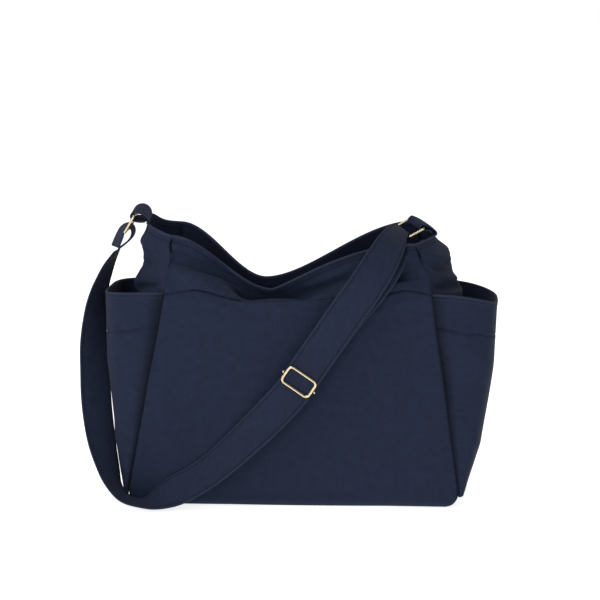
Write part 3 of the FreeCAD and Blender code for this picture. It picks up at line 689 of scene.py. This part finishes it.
for name, side in (("left", -1), ("right", 1)):
    wall = pouch_face(side)
    normals = grid_normals(wall)
    normals *= np.sign((normals * np.array([side, 0, 0])).sum())
    lateral = np.abs(wall[..., 0] - drift(wall[..., 2])) - width_at(wall[..., 2])
    room = np.minimum(np.arange(wall.shape[1]), np.arange(wall.shape[1])[::-1])[None, :] * 2.4
    sink = seam_groove(room, wall[..., 2], 41 + side, depth=1.6)
    out_share = np.clip(lateral / 70.0, 0, 1)
    line_height = pouch_high - pouch_band - (pouch_band_outer - pouch_band) * out_share
    line_height = line_height + 0.9 * np.sin(lateral / 6.0)
    sink = sink + 1.3 * np.exp(-((wall[..., 2] - line_height) / 1.1) ** 2)
    sink = sink + 0.5 * np.sin(lateral / 2.6) * np.exp(-((wall[..., 2] - line_height) / 5.0) ** 2)
    swell = unevenness(wall[..., 1] + lateral, wall[..., 2], 43 + side, 80, 1.4)
    swell = swell * np.clip((pouch_high - wall[..., 2]) / 20, 0, 1)
    wall = wall + normals * (pouch_folds(lateral, wall[..., 1], wall[..., 2]) + swell - sink)[..., None]
    # painted shade at the pouch's seams and along the band's stitch line
    painted_seam_shading = -0.8 * np.exp(-(room / 1.3) ** 2) - 0.6 * np.exp(-((wall[..., 2] - line_height) / 1.0) ** 2)
    outer, outer_normals = cloth(name + "_pouch_cloth", wall, canvas_thick, (side, 0, 0), canvas,
                                 replaces=[name + "_pocket"],
                                 marks=painted_seam_shading)
    facing = pouch_face(side, depth=2.2, low=pouch_high - pouch_band, high=pouch_high - 0.6, span=86,
                        rows=24, cols=70)
    cloth(name + "_pouch_facing", facing, facing_thick, (side, 0, 0), canvas,
          replaces=[name + "_pocket_facing"])
    rim = outer[-1] - outer_normals[-1] * 0.9 + np.array([0, 0, 0.3])
    tube(name + "_pouch_rolled_rim", rim, 1.35, canvas, closed=False)
    row = np.argmin(np.abs(wall[:, :, 2] - line_height), axis=0)
    if not np.allclose(outer, wall):
        row = row[::-1]
    pick = (row, np.arange(outer.shape[1]))
    stitches(name + "_pouch_band_stitches", outer[pick], outer_normals[pick])
    under_rim = -4
    stitches(name + "_pouch_rim_stitches", outer[under_rim], outer_normals[under_rim])

# ======== base ==============================================================
# The canvas base, sewn to the panels and gussets all round, with a stiff board laid on it, inside, that
# keeps the bag standing.


def base_face(half_x, half_y, height):
    """Flat rectangle with its corners drawn in: each way it shrinks with the square of the other share."""
    u, v = np.meshgrid(np.linspace(-1, 1, 90), np.linspace(-1, 1, 40))
    x = half_x * u * np.sqrt(1 - 0.10 * v ** 2) + drift(height)
    y = half_y * v * np.sqrt(1 - 0.22 * u ** 2)
    return np.stack([x, y, np.full(x.shape, height)], -1)


base_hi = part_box("base_panel")[1]
cloth("base_cloth", base_face(base_hi.x / MM + 1, half_depth - foot_crease + 1, 0.15), 1.7, (0, 0, -1),
      canvas, replaces=["base_panel"])
cloth("base_inside_cloth", base_face(165, 52, 3.0), 0.8, (0, 0, -1), canvas)
board = bpy.data.materials.new("grey_board")
board.use_nodes = True
board_skin = board.node_tree.nodes["Principled BSDF"]
board_skin.inputs["Roughness"].default_value = 0.8
place = put(board.node_tree, "ShaderNodeTexCoord")
speck = put(board.node_tree, "ShaderNodeTexNoise", Scale=420.0, Detail=4.0)
board.node_tree.links.new(place.outputs["Object"], speck.inputs["Vector"])
fibre = mixed(board.node_tree, speck.outputs["Fac"], (0.07, 0.07, 0.075), (0.16, 0.155, 0.15))
board.node_tree.links.new(fibre, board_skin.inputs["Base Color"])


def dressed(node, material):
    """Gives a piece that is shown in its plain shape its own finish."""
    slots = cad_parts[node].data.materials
    slots.clear()
    slots.append(material)


dressed("base_board", board)

# ======== lining ============================================================
# A loose bag of thin grey navy cotton inside the canvas one: front, back, two sides and a floor. It is sewn
# to the lower edge of the facings and lies on the board.
lining = woven("lining_cotton", (0.028, 0.034, 0.060), (0.055, 0.064, 0.100), (0.07, 0.08, 0.12), 2100,
               0.0001, 0.8, 0.05)
lining_thick = 0.6
lining_depth = 3.2         # how far it hangs inside the canvas
lining_trim = 3.4          # how much narrower it is cut at each side
lining_foot = 7.5
for name, side in (("lining_front", -1), ("lining_back", 1)):
    wall = panel_face(side, depth=lining_depth, top=panel_top - 12, trim=lining_trim, cols=90, rows=60)
    wall = wall[wall[:, 0, 2] > lining_foot]
    cloth(name + "_cloth", wall, lining_thick, (0, -side, 0), lining, replaces=[name])
for name, side in (("left", -1), ("right", 1)):
    wall = side_face(side, depth=lining_depth, top_share=0.72, pinch=lining_trim, rows=50, cols=50)
    wall[..., 0] += side * side_folds(side, wall[..., 1], wall[..., 2])
    wall = wall[wall[:, 0, 2] > lining_foot]
    cloth("lining_" + name + "_cloth", wall, lining_thick, (-side, 0, 0), lining,
          replaces=["lining_" + name])
board_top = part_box("base_board")[1].z / MM
floor_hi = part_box("lining_base")[1]
ground = base_face(floor_hi.x / MM, floor_hi.y / MM, board_top + 1.2)
ground[..., 2] += 0.5 + unevenness(ground[..., 0], ground[..., 1], 51, 60, 0.5)
cloth("lining_base_cloth", ground, lining_thick, (0, 0, 1), lining, replaces=["lining_base"])

# ======== open pocket with its elastic ======================================
# A slip pocket of lining cotton sewn to the front lining along its sides and foot. Elastic in its top hem
# gathers the cloth into small pleats.
slip_lo, slip_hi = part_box("slip_pocket")
slip_half = slip_hi.x / MM
inner_front = slip_lo.y / MM


def slip_face(low, high, rows, gather):
    """Pocket cloth that stands off the lining by 16 (1 - u^2), and ripples under the elastic."""
    z = np.linspace(low, high, rows)[:, None]
    u = np.linspace(-1, 1, 140)[None, :]
    share = np.clip((z - slip_lo.z / MM) / (slip_hi.z - slip_lo.z) * MM, 0, 1)
    stand = 16 * share ** 0.6 * (1 - u ** 2)
    pleats = gather * np.sin(u * 62) * share ** 3 * (1 - u ** 8)
    return np.stack([slip_half * u + 0 * z, inner_front + 1.0 + stand + pleats, z + 0 * u], -1)


cloth("slip_pocket_cloth", slip_face(slip_lo.z / MM, slip_hi.z / MM, 60, 0.9), 0.7, (0, 1, 0), lining,
      replaces=["slip_pocket"])
ribbed = woven("elastic_binding", (0.016, 0.020, 0.040), (0.035, 0.042, 0.075), (0.05, 0.06, 0.09), 1500,
               0.0002)
elastic_lo, elastic_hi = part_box("slip_pocket_elastic")
cloth("slip_pocket_elastic_band", slip_face(elastic_lo.z / MM, elastic_hi.z / MM, 10, 1.1), 1.7, (0, 1, 0),
      ribbed, replaces=["slip_pocket_elastic"])

# ======== zip pocket ========================================================
# Sewn to the back lining: two woven tapes, a row of metal teeth with a slider and its pull, and the cloth
# sack that hangs behind them.
tape_lo, tape_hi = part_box("zip_tapes")
teeth_lo, teeth_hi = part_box("zip_teeth")
zip_level = (teeth_lo.z + teeth_hi.z) / 2 / MM
tape_face = tape_lo.y / MM
tape_weave = woven("zip_tape_weave", (0.010, 0.013, 0.028), (0.026, 0.031, 0.058), (0.03, 0.035, 0.06),
                   1900, 0.0002)
teeth_room = 2.3
for name, low, high in (("upper", zip_level + teeth_room, tape_hi.z / MM),
                        ("lower", tape_lo.z / MM, zip_level - teeth_room)):
    x, z = np.meshgrid(np.linspace(tape_lo.x / MM, tape_hi.x / MM, 120), np.linspace(low, high, 10))
    wave = 0.25 * np.sin(x / 14.0) * np.sin((z - low) / 5)
    cloth("zip_tape_" + name, np.stack([x, tape_face + 0.1 + wave, z], -1), 0.8, (0, -1, 0), tape_weave,
          replaces=["zip_tapes"])

# The tarnish that both metals share: soft spots of the given number to the metre.
tarnish = bpy.data.node_groups.new("tarnish", "ShaderNodeTree")
tarnish.interface.new_socket("Place", in_out="INPUT", socket_type="NodeSocketVector")
tarnish.interface.new_socket("Spots per metre", in_out="INPUT", socket_type="NodeSocketFloat")
tarnish.interface.new_socket("Amount", in_out="OUTPUT", socket_type="NodeSocketFloat")
given = put(tarnish, "NodeGroupInput")
spots = put(tarnish, "ShaderNodeTexNoise", Detail=3.0)
tarnish.links.new(given.outputs["Place"], spots.inputs["Vector"])
tarnish.links.new(given.outputs["Spots per metre"], spots.inputs["Scale"])
tarnish.links.new(spots.outputs["Fac"], put(tarnish, "NodeGroupOutput").inputs["Amount"])


def plated(name, dull, bright, spots_per_metre, smooth, rough, scratches=0.0):
    """Plated metal: colour and roughness follow the same tarnish, and so do fine scratches, if any."""
    material = bpy.data.materials.new(name)
    material.use_nodes = True
    tree = material.node_tree
    skin = tree.nodes["Principled BSDF"]
    skin.inputs["Metallic"].default_value = 1.0
    group = put(tree, "ShaderNodeGroup", node_tree=tarnish)
    group.inputs["Spots per metre"].default_value = spots_per_metre
    tree.links.new(put(tree, "ShaderNodeTexCoord").outputs["Object"], group.inputs["Place"])
    tree.links.new(mixed(tree, group.outputs["Amount"], dull, bright), skin.inputs["Base Color"])
    tree.links.new(ranged(tree, group.outputs["Amount"], smooth, rough), skin.inputs["Roughness"])
    if scratches:
        relief = put(tree, "ShaderNodeBump", Strength=scratches, Distance=0.0001)
        tree.links.new(group.outputs["Amount"], relief.inputs["Height"])
        tree.links.new(relief.outputs["Normal"], skin.inputs["Normal"])
    return material


brass = plated("pale_zip_metal", (0.58, 0.46, 0.27), (0.80, 0.68, 0.46), 900.0, 0.22, 0.42)
dressed("zip_slider", brass)
dressed("zip_pull", brass)

# Each tooth is a short block with a bevelled nose; those of the two tapes stand half a pitch apart.
tooth_pitch, tooth_count = 2.6, 68
block = np.array([(sx * w, sy, z) for z, w in ((-2.1, 0.55), (1.2, 0.55), (1.9, 0.25)) for sx, sy in
                  ((-1, -0.5), (1, -0.5), (1, 0.55), (-1, 0.55))])
walls = [(4 * k + i, 4 * k + (i + 1) % 4, 4 * k + 4 + (i + 1) % 4, 4 * k + 4 + i)
         for k in (0, 1) for i in range(4)]
block_faces = np.array([(3, 2, 1, 0), (8, 9, 10, 11)] + walls)
teeth, teeth_faces = [], []
for row, (flip, shift) in enumerate(((1, 0.0), (-1, tooth_pitch / 2))):
    places = teeth_lo.x / MM + 2 + shift + np.arange(tooth_count) * tooth_pitch
    tooth = block * np.array([flip, 1, flip])
    tooth = tooth + np.array([0, (teeth_lo.y + teeth_hi.y) / 2 / MM - 0.1, zip_level])
    teeth.append((tooth[None] + places[:, None, None] * np.array([1.0, 0, 0])).reshape(-1, 3))
    start = row * tooth_count * len(block)
    first_corners = np.arange(tooth_count)[:, None, None] * len(block) + start
    teeth_faces.append((first_corners + block_faces).reshape(-1, 4))
teeth, teeth_faces = np.concatenate(teeth), np.concatenate(teeth_faces)
zip_row = mesh_object("zip_teeth_row", teeth, teeth_faces, teeth[:, [0, 2]], np.zeros(len(teeth)), brass,
                      "bag")
zip_row.data.polygons.foreach_set("use_smooth", np.zeros(len(teeth_faces), bool))
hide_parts("zip_teeth")
sack_lo, sack_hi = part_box("zip_pocket_cloth")
x, z = np.meshgrid(np.linspace(sack_lo.x / MM, sack_hi.x / MM, 90),
                   np.linspace(sack_lo.z / MM, sack_hi.z / MM, 60))
sag = unevenness(x, z, 61, 50, 1.2) + 1.2 * np.sin(math.pi * (x - x.min()) / (x.max() - x.min()))
sag = sag * np.sin(math.pi * (z - z.min()) / (z.max() - z.min()))
cloth("zip_pocket_sack", np.stack([x, sack_lo.y / MM - 0.6 - np.abs(sag), z], -1), lining_thick, (0, -1, 0),
      lining, replaces=["zip_pocket_cloth"])

# ======== magnetic snap =====================================================
# Two turned metal halves that pull the mouth shut: one with a well inside the front yoke, one with a stud
# inside the back yoke. Each is pressed through its yoke's facing.


def spun(name, place, axis, profile, material, replaces):
    """A turned piece: the profile of heights and radii spun about the axis at place, in 40 steps."""
    axis = unit(np.array(axis, float))
    aside = unit(np.cross(axis, (1.0, 0.2, 0.1)))
    other = np.cross(axis, aside)
    a = np.arange(40) * 2 * math.pi / 40
    rings = [np.array(place) + axis * h + r * (np.cos(a)[:, None] * aside + np.sin(a)[:, None] * other)
             for h, r in profile]
    points = np.concatenate(rings)
    index = np.arange(len(points)).reshape(-1, 40)
    faces = np.stack([index[:-1], np.roll(index, -1, 1)[:-1], np.roll(index, -1, 1)[1:], index[1:]], -1)
    piece = mesh_object(name, points, faces.reshape(-1, 4), points[:, :2], np.zeros(len(points)), material,
                        "bag")
    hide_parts(*replaces)


flange = [(0, 0.05), (0, 7.6), (0.3, 8.6), (0.9, 9.0), (1.6, 8.9), (2.1, 8.2), (2.4, 7.0)]
socket_shape = flange + [(2.4, 5.2), (2.2, 4.5), (1.2, 4.3), (1.1, 0.05)]
stud_shape = flange + [(2.5, 4.6), (2.9, 4.1), (4.0, 3.9), (4.4, 3.5), (4.5, 0.05)]
for name, shape, (face, normals), place in (("snap_socket", socket_shape, front_yoke, 30),
                                               ("snap_stud", stud_shape, back_yoke, 28)):
    column = face.shape[1] // 2 + (-8 if face[0, 0, 0] < 0 else 8)
    inward = -normals[place, column]
    spun(name + "_half", face[place, column] + inward * 3.6, inward, shape, brass, [name])

# ======== strap tabs ========================================================
# Short loops of folded canvas, sewn into the top of each side; each holds a ring.
strap_canvas = woven("navy_strap_canvas", (0.0088, 0.0125, 0.0275), (0.0205, 0.0280, 0.057),
                     (0.060, 0.072, 0.112), 1000, 0.0003)
stitch_inset = 2.6


def spline(values, count):
    """Catmull-Rom through the rows of values, at count even steps of their own numbering."""
    values = np.asarray(values, float)
    padded = np.concatenate([2 * values[:1] - values[1:2], values, 2 * values[-1:] - values[-2:-1]])
    t = np.linspace(0, len(values) - 1, count)
    k = np.minimum(t.astype(int), len(values) - 2)
    f = (t - k)[:, None]
    a, b, c, d = padded[k], padded[k + 1], padded[k + 2], padded[k + 3]
    square, cube = 2 * a - 5 * b + 4 * c - d, 3 * b - a - 3 * c + d
    return 0.5 * (2 * b + (c - a) * f + square * f ** 2 + cube * f ** 3)


def band_face(places, across, widths, thick, count, seed, columns=29):
    """Flat strap along places: its width lies along across, and a row of topstitching pulls in each edge."""
    middle = spline(places, count)
    way = unit(np.gradient(middle, axis=0))
    aside = unit(spline(across, count))
    normal = unit(np.cross(aside, way))
    width = spline(np.asarray(widths, float)[:, None], count)
    s = gathered(columns, 0.3)[None, :, None]
    run = np.cumsum(np.linalg.norm(np.diff(middle, axis=0, prepend=middle[:1]), axis=1))
    from_edge = (1 - np.abs(s[..., 0])) * width / 2
    lift = thick / 2 + 0.22 * np.sqrt(np.clip(from_edge / 2.5, 0, 1)) - 0.22
    lift = lift - 0.28 * np.exp(-((from_edge - stitch_inset) / 0.8) ** 2)
    lift = lift + unevenness(run[:, None], s[..., 0] * width / 2, seed, 45, 0.35)
    flat = middle[:, None] + aside[:, None] * s * width[:, None] / 2
    return flat + normal[:, None] * lift[..., None], normal


def hemmed(face):
    """Marks of a strap: rubbed wear with a painted highlight along both folded edges, and painted shade
    along the stitch line inside each.
    """
    across = arc_lengths(face)[0]
    room = np.minimum(across, across[:, -1:] - across)
    return 0.22 * np.exp(-(room / 0.8) ** 2) - 0.6 * np.exp(-((room - stitch_inset) / 0.7) ** 2)


left_tab_bar = np.array([-187.7, 0, 319.7])
left_offsets = [(15.4, -7.5), (16.2, -3.0), (14.9, 2.0), (10.8, 5.9), (5.0, 7.3), (-0.9, 6.2), (-4.1, 2.0),
                (-3.1, -2.6), (0.5, -4.1), (6.0, -4.6), (12.0, -5.7)]
left_places = [left_tab_bar + np.array([dx, 0, dz]) for dx, dz in left_offsets]
left_across = [(0, 1, lean) for lean in (0.05, 0.15, 0.25, 0.29, 0.29, 0.2, 0.1, 0.12, 0.14, 0.14, 0.05)]
left_widths = [36, 34, 32, 31, 30, 29, 29, 29, 29, 32.5, 36]


def tab(name, places, across, widths, seed, replaces):
    """Tab cloth. It rides on no one body: its root is sewn to the bag and its loop holds the ring."""
    face, normal = band_face(places, across, widths, 1.8, 120, seed, columns=21)
    cloth(name, face, 1.8, normal[60], strap_canvas, None, replaces,
          marks=hemmed(face))


tab("left_tab_loop", left_places, left_across, left_widths, 71, ["left_strap_tab"])
right_long = np.array([-0.4517, 0.8565, 0.2498])
right_short = np.array([0.8355, 0.3079, 0.4551])
right_tab_bar = np.array([131.27, 3.23, 311.28])
right_strap_bar = np.array([113.73, -3.23, 301.72])


def round_bar(bar, axis, start, count, span, radius):
    """Points round a bar: start turned about the axis by even steps up to span degrees, at one radius."""
    axis, start = unit(np.array(axis)), np.array(start, float)
    start = unit(start - axis * (start @ axis))
    side = np.cross(axis, start)
    a = np.radians(np.linspace(0, span, count + 1))[:, None]
    return list(bar + radius * (start * np.cos(a) + side * np.sin(a)))


crown = np.array([151.0, 0, 299.0])
right_places = [crown + np.array(d) for d in
                ((1.5, 0, 0.5), (0.4, 0.5, 4.2), (-4.2, 1.3, 8.4), (-11, 2.3, 12.8))]
wrap = 1 if np.cross(right_long, (-0.30, -0.25, 0.92)) @ right_short > 0 else -1    # over the bars
right_places += round_bar(right_tab_bar, right_long, (0.3, 0, 0.95), 5, -wrap * 200, 3.7)
right_places += [crown + np.array(d) for d in ((-10, 2, 7.6), (-3, 0.5, 3.8))]
shares = [0, 0.25, 0.65, 0.95] + [1] * 6 + [0.6, 0]
right_across = [np.array([0, 1, 0]) * (1 - s) + right_long * s for s in shares]
right_widths = [34, 31.5] + [29] * 8 + [31.5, 34]
tab("right_tab_loop", right_places, right_across, right_widths, 72, ["right_strap_tab"])
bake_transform(bpy.data.objects["left_tab_loop"])
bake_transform(bpy.data.objects["right_tab_loop"])

# ======== strap =============================================================
# One flat strap of doubled canvas, 38 mm wide, topstitched along both edges. From its sewn end at the left
# ring it twists down beside the pouch, turns round the foot, and climbs across the front to the right ring.
strap_stations = [
    ((-209.8, -1, 279), (0.05, 1, 0), 33), ((-217, -8, 266), (0.2, 0.98, 0), 36),
    ((-222.5, -14, 252), (0.3, 0.95, 0), 37), ((-227.6, -19, 236), (0.40, 0.92, 0), 38),
    ((-231, -23, 216), (0.52, 0.85, 0), 38), ((-233.6, -28, 181), (0.66, 0.75, 0), 38),
    ((-231.8, -34, 146), (0.75, 0.66, 0), 38), ((-230.0, -39, 120), (0.78, 0.63, 0), 38),
    ((-226.8, -46, 94), (0.76, 0.65, 0), 38), ((-221, -57, 66), (0.70, 0.71, -0.1), 38),
    ((-213.4, -68, 42), (0.55, 0.80, -0.2), 38), ((-205.2, -79, 24), (0.35, 0.92, -0.2), 38),
    ((-192, -87, 11.6), (0.15, 0.98, -0.05), 38), ((-173, -90, 7.0), (0, 1, 0.05), 38),
    ((-153, -91.5, 13.5), (-0.1, 0.86, 0.5), 38), ((-133, -91, 22), (-0.35, 0.62, 0.7), 38),
    ((-112, -90, 33), (-0.5, 0.59, 0.63), 38), ((-86, -89.5, 52), (-0.56, 0.55, 0.62), 38),
    ((-60, -89.5, 76), (-0.62, 0.42, 0.66), 38), ((-37, -90, 98.5), (-0.66, 0.26, 0.69), 38),
    ((-18, -90.3, 118.5), (-0.72, 0.08, 0.68), 38), ((-5.7, -90.5, 132.6), (-0.826, 0, 0.564), 38),
    ((2.75, -90.5, 145), (-0.826, 0, 0.564), 38), ((29.5, -90.5, 184.2), (-0.826, 0, 0.564), 38),
    ((56.3, -90.5, 223.5), (-0.826, 0, 0.564), 38), ((70.5, -89, 243), (-0.80, 0.06, 0.6), 38),
    ((83.5, -84, 262.5), (-0.78, 0.16, 0.6), 38), ((94, -74, 279), (-0.76, 0.34, 0.55), 38),
    ((102, -59, 292), (-0.70, 0.48, 0.53), 37), ((108, -41, 300.5), (-0.62, 0.62, 0.48), 35),
    ((111.5, -22, 305), (-0.52, 0.76, 0.38), 32),
]
strap_thick = 1.9


def band(name, places, across, widths, count, seed, replaces):
    """Closed strap that rides on the strap's body, with a row of stitches along both edges of its face."""
    face, normal = band_face(places, across, widths, strap_thick, count, seed)
    if (grid_normals(face) * normal[:, None]).sum() < 0:
        face = face[:, ::-1]
    outer, normals = cloth(name, face, strap_thick, normal[len(normal) // 2], strap_canvas,
                           "strap", replaces, marks=hemmed(face))
    reach = arc_lengths(outer)[0]
    for side, past in (("near", reach), ("far", reach[:, -1:] - reach)):
        pick = (np.arange(count), np.argmin(np.abs(past - stitch_inset), axis=1))
        stitches(name + "_stitches_" + side, outer[pick], normals[pick], body="strap")


turn_points = round_bar(right_strap_bar, right_long, (0.34, -0.09, 0.93), 5, wrap * 185, 3.8)
places = [np.array(s[0], float) for s in strap_stations] + [turn_points[0]]
across = [np.array(s[1], float) for s in strap_stations] + [right_long]
widths = [s[2] for s in strap_stations] + [29]
count = 520
band("shoulder_strap", places, across, widths, count, 81, ["strap"])

# The returning layer turns round the ring's bar and runs down behind the strap to the slider's own bar.
slider_station = 22.5
middle_line, across_line = spline(places, count), unit(spline(across, count))
normal_line = unit(np.cross(across_line, unit(np.gradient(middle_line, axis=0))))
normal_line *= -np.sign(normal_line[:, 1].mean())
back_places, back_across, back_widths = list(turn_points[1:]), [right_long] * 5, [29] * 5
first, last = int(count * slider_station / len(strap_stations)), count - 12
for k in np.linspace(last, first, 16).astype(int):
    share = (last - k) / (last - first)
    shift = 6.0 * math.sin(math.pi * share ** 0.8)
    gap = 4.2 + 2.7 * min(1, share / 0.55)
    back_places.append(middle_line[k] - normal_line[k] * gap - across_line[k] * shift)
    back_across.append(across_line[k])
    back_widths.append(min(29 + 40 * share, 37))
band("returning_strap", back_places, back_across, back_widths, 260, 82,
     ["strap_return"])

# The left end is folded round the ring, hemmed and sewn to itself.
left_strap_bar = np.array([-198.1, 0, 301.5])
loop_offsets = [(-13.2, -17.6), (-8.6, -6.8), (-4.2, 3.2), (0.4, 7.4), (5.2, 5.6), (7.4, -0.6), (5.0, -7.4),
                (-1.0, -13.5), (-8.0, -18.8)]
loop_places = [left_strap_bar + np.array([dx, 0, dz]) for dx, dz in loop_offsets]
loop_across = [(-turn, 1, 0) for turn in (0.42, 0.42, 0.3, 0.1, 0, 0, 0, 0, 0)]
band("strap_end_fold", loop_places, loop_across, [29] * 9, 110, 83,
     ["strap_end_loop"])

# ======== rings and slider ==================================================
# Pale gold plated wire, bent into rounded rectangles and polished: a ring in each tab, and the strap's
# slider, which has a bar across its middle.
gold = plated("pale_gold", (0.62, 0.50, 0.31), (0.80, 0.69, 0.48), 90.0, 0.14, 0.30, scratches=0.06)


def rounded_loop(middle, long_way, short_way, long_size, short_size, corner, wire):
    """Middle line of a bent wire: a rectangle whose corners are quarter circles, from its outside sizes."""
    half_long, half_short = (long_size - wire) / 2 - corner, (short_size - wire) / 2 - corner
    turn = np.linspace(0, math.pi / 2, 9)
    points = []
    for k, (p, q) in enumerate(((1, 1), (-1, 1), (-1, -1), (1, -1))):
        a = turn + k * math.pi / 2
        arc = np.stack([p * half_long + corner * np.cos(a), q * half_short + corner * np.sin(a)], -1)
        ahead = ((-1, 1), (-1, -1), (1, -1), (1, 1))[k]
        following = np.array([ahead[0] * half_long, ahead[1] * half_short])
        following = following + corner * np.array([math.cos(a[-1]), math.sin(a[-1])])
        straight = arc[-1] + (following - arc[-1]) * np.linspace(0, 1, 8)[1:-1, None]
        points.append(np.concatenate([arc, straight]))
    flat = np.concatenate(points)
    return np.array(middle) + flat[:, :1] * np.array(long_way) + flat[:, 1:] * np.array(short_way)


ring_long, ring_short, wire = 38.0, 24.0, 3.0
left_short = unit(np.array([0.496, 0, 0.868]))
for name, middle, long_way, short_way in (
        ("left_ring", (left_tab_bar + left_strap_bar) / 2, np.array([0, 1.0, 0]), left_short),
        ("right_ring", (right_tab_bar + right_strap_bar) / 2, right_long, unit(right_short))):
    loop = rounded_loop(middle, long_way, short_way, ring_long, ring_short, 2.0, wire)
    ring = tube(name + "_wire", loop, wire / 2, gold, name, sides=20,
                up=np.cross(long_way, short_way))
    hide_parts(name)
run_way, run_across = np.array([0.564, 0, 0.826]), np.array([-0.826, 0, 0.564])
slider_middle = np.array([2.75, -90.5 - strap_thick / 2 - 0.35 - wire / 2, 145.0])
loop = rounded_loop(slider_middle, run_across, run_way, 38.0, 22.6, 4.5, wire)
slider = tube("slider_wire", loop, wire / 2, gold, "strap_slider", sides=20, up=(0, 1, 0))
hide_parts("slider_frame")
dressed("slider_bar", gold)
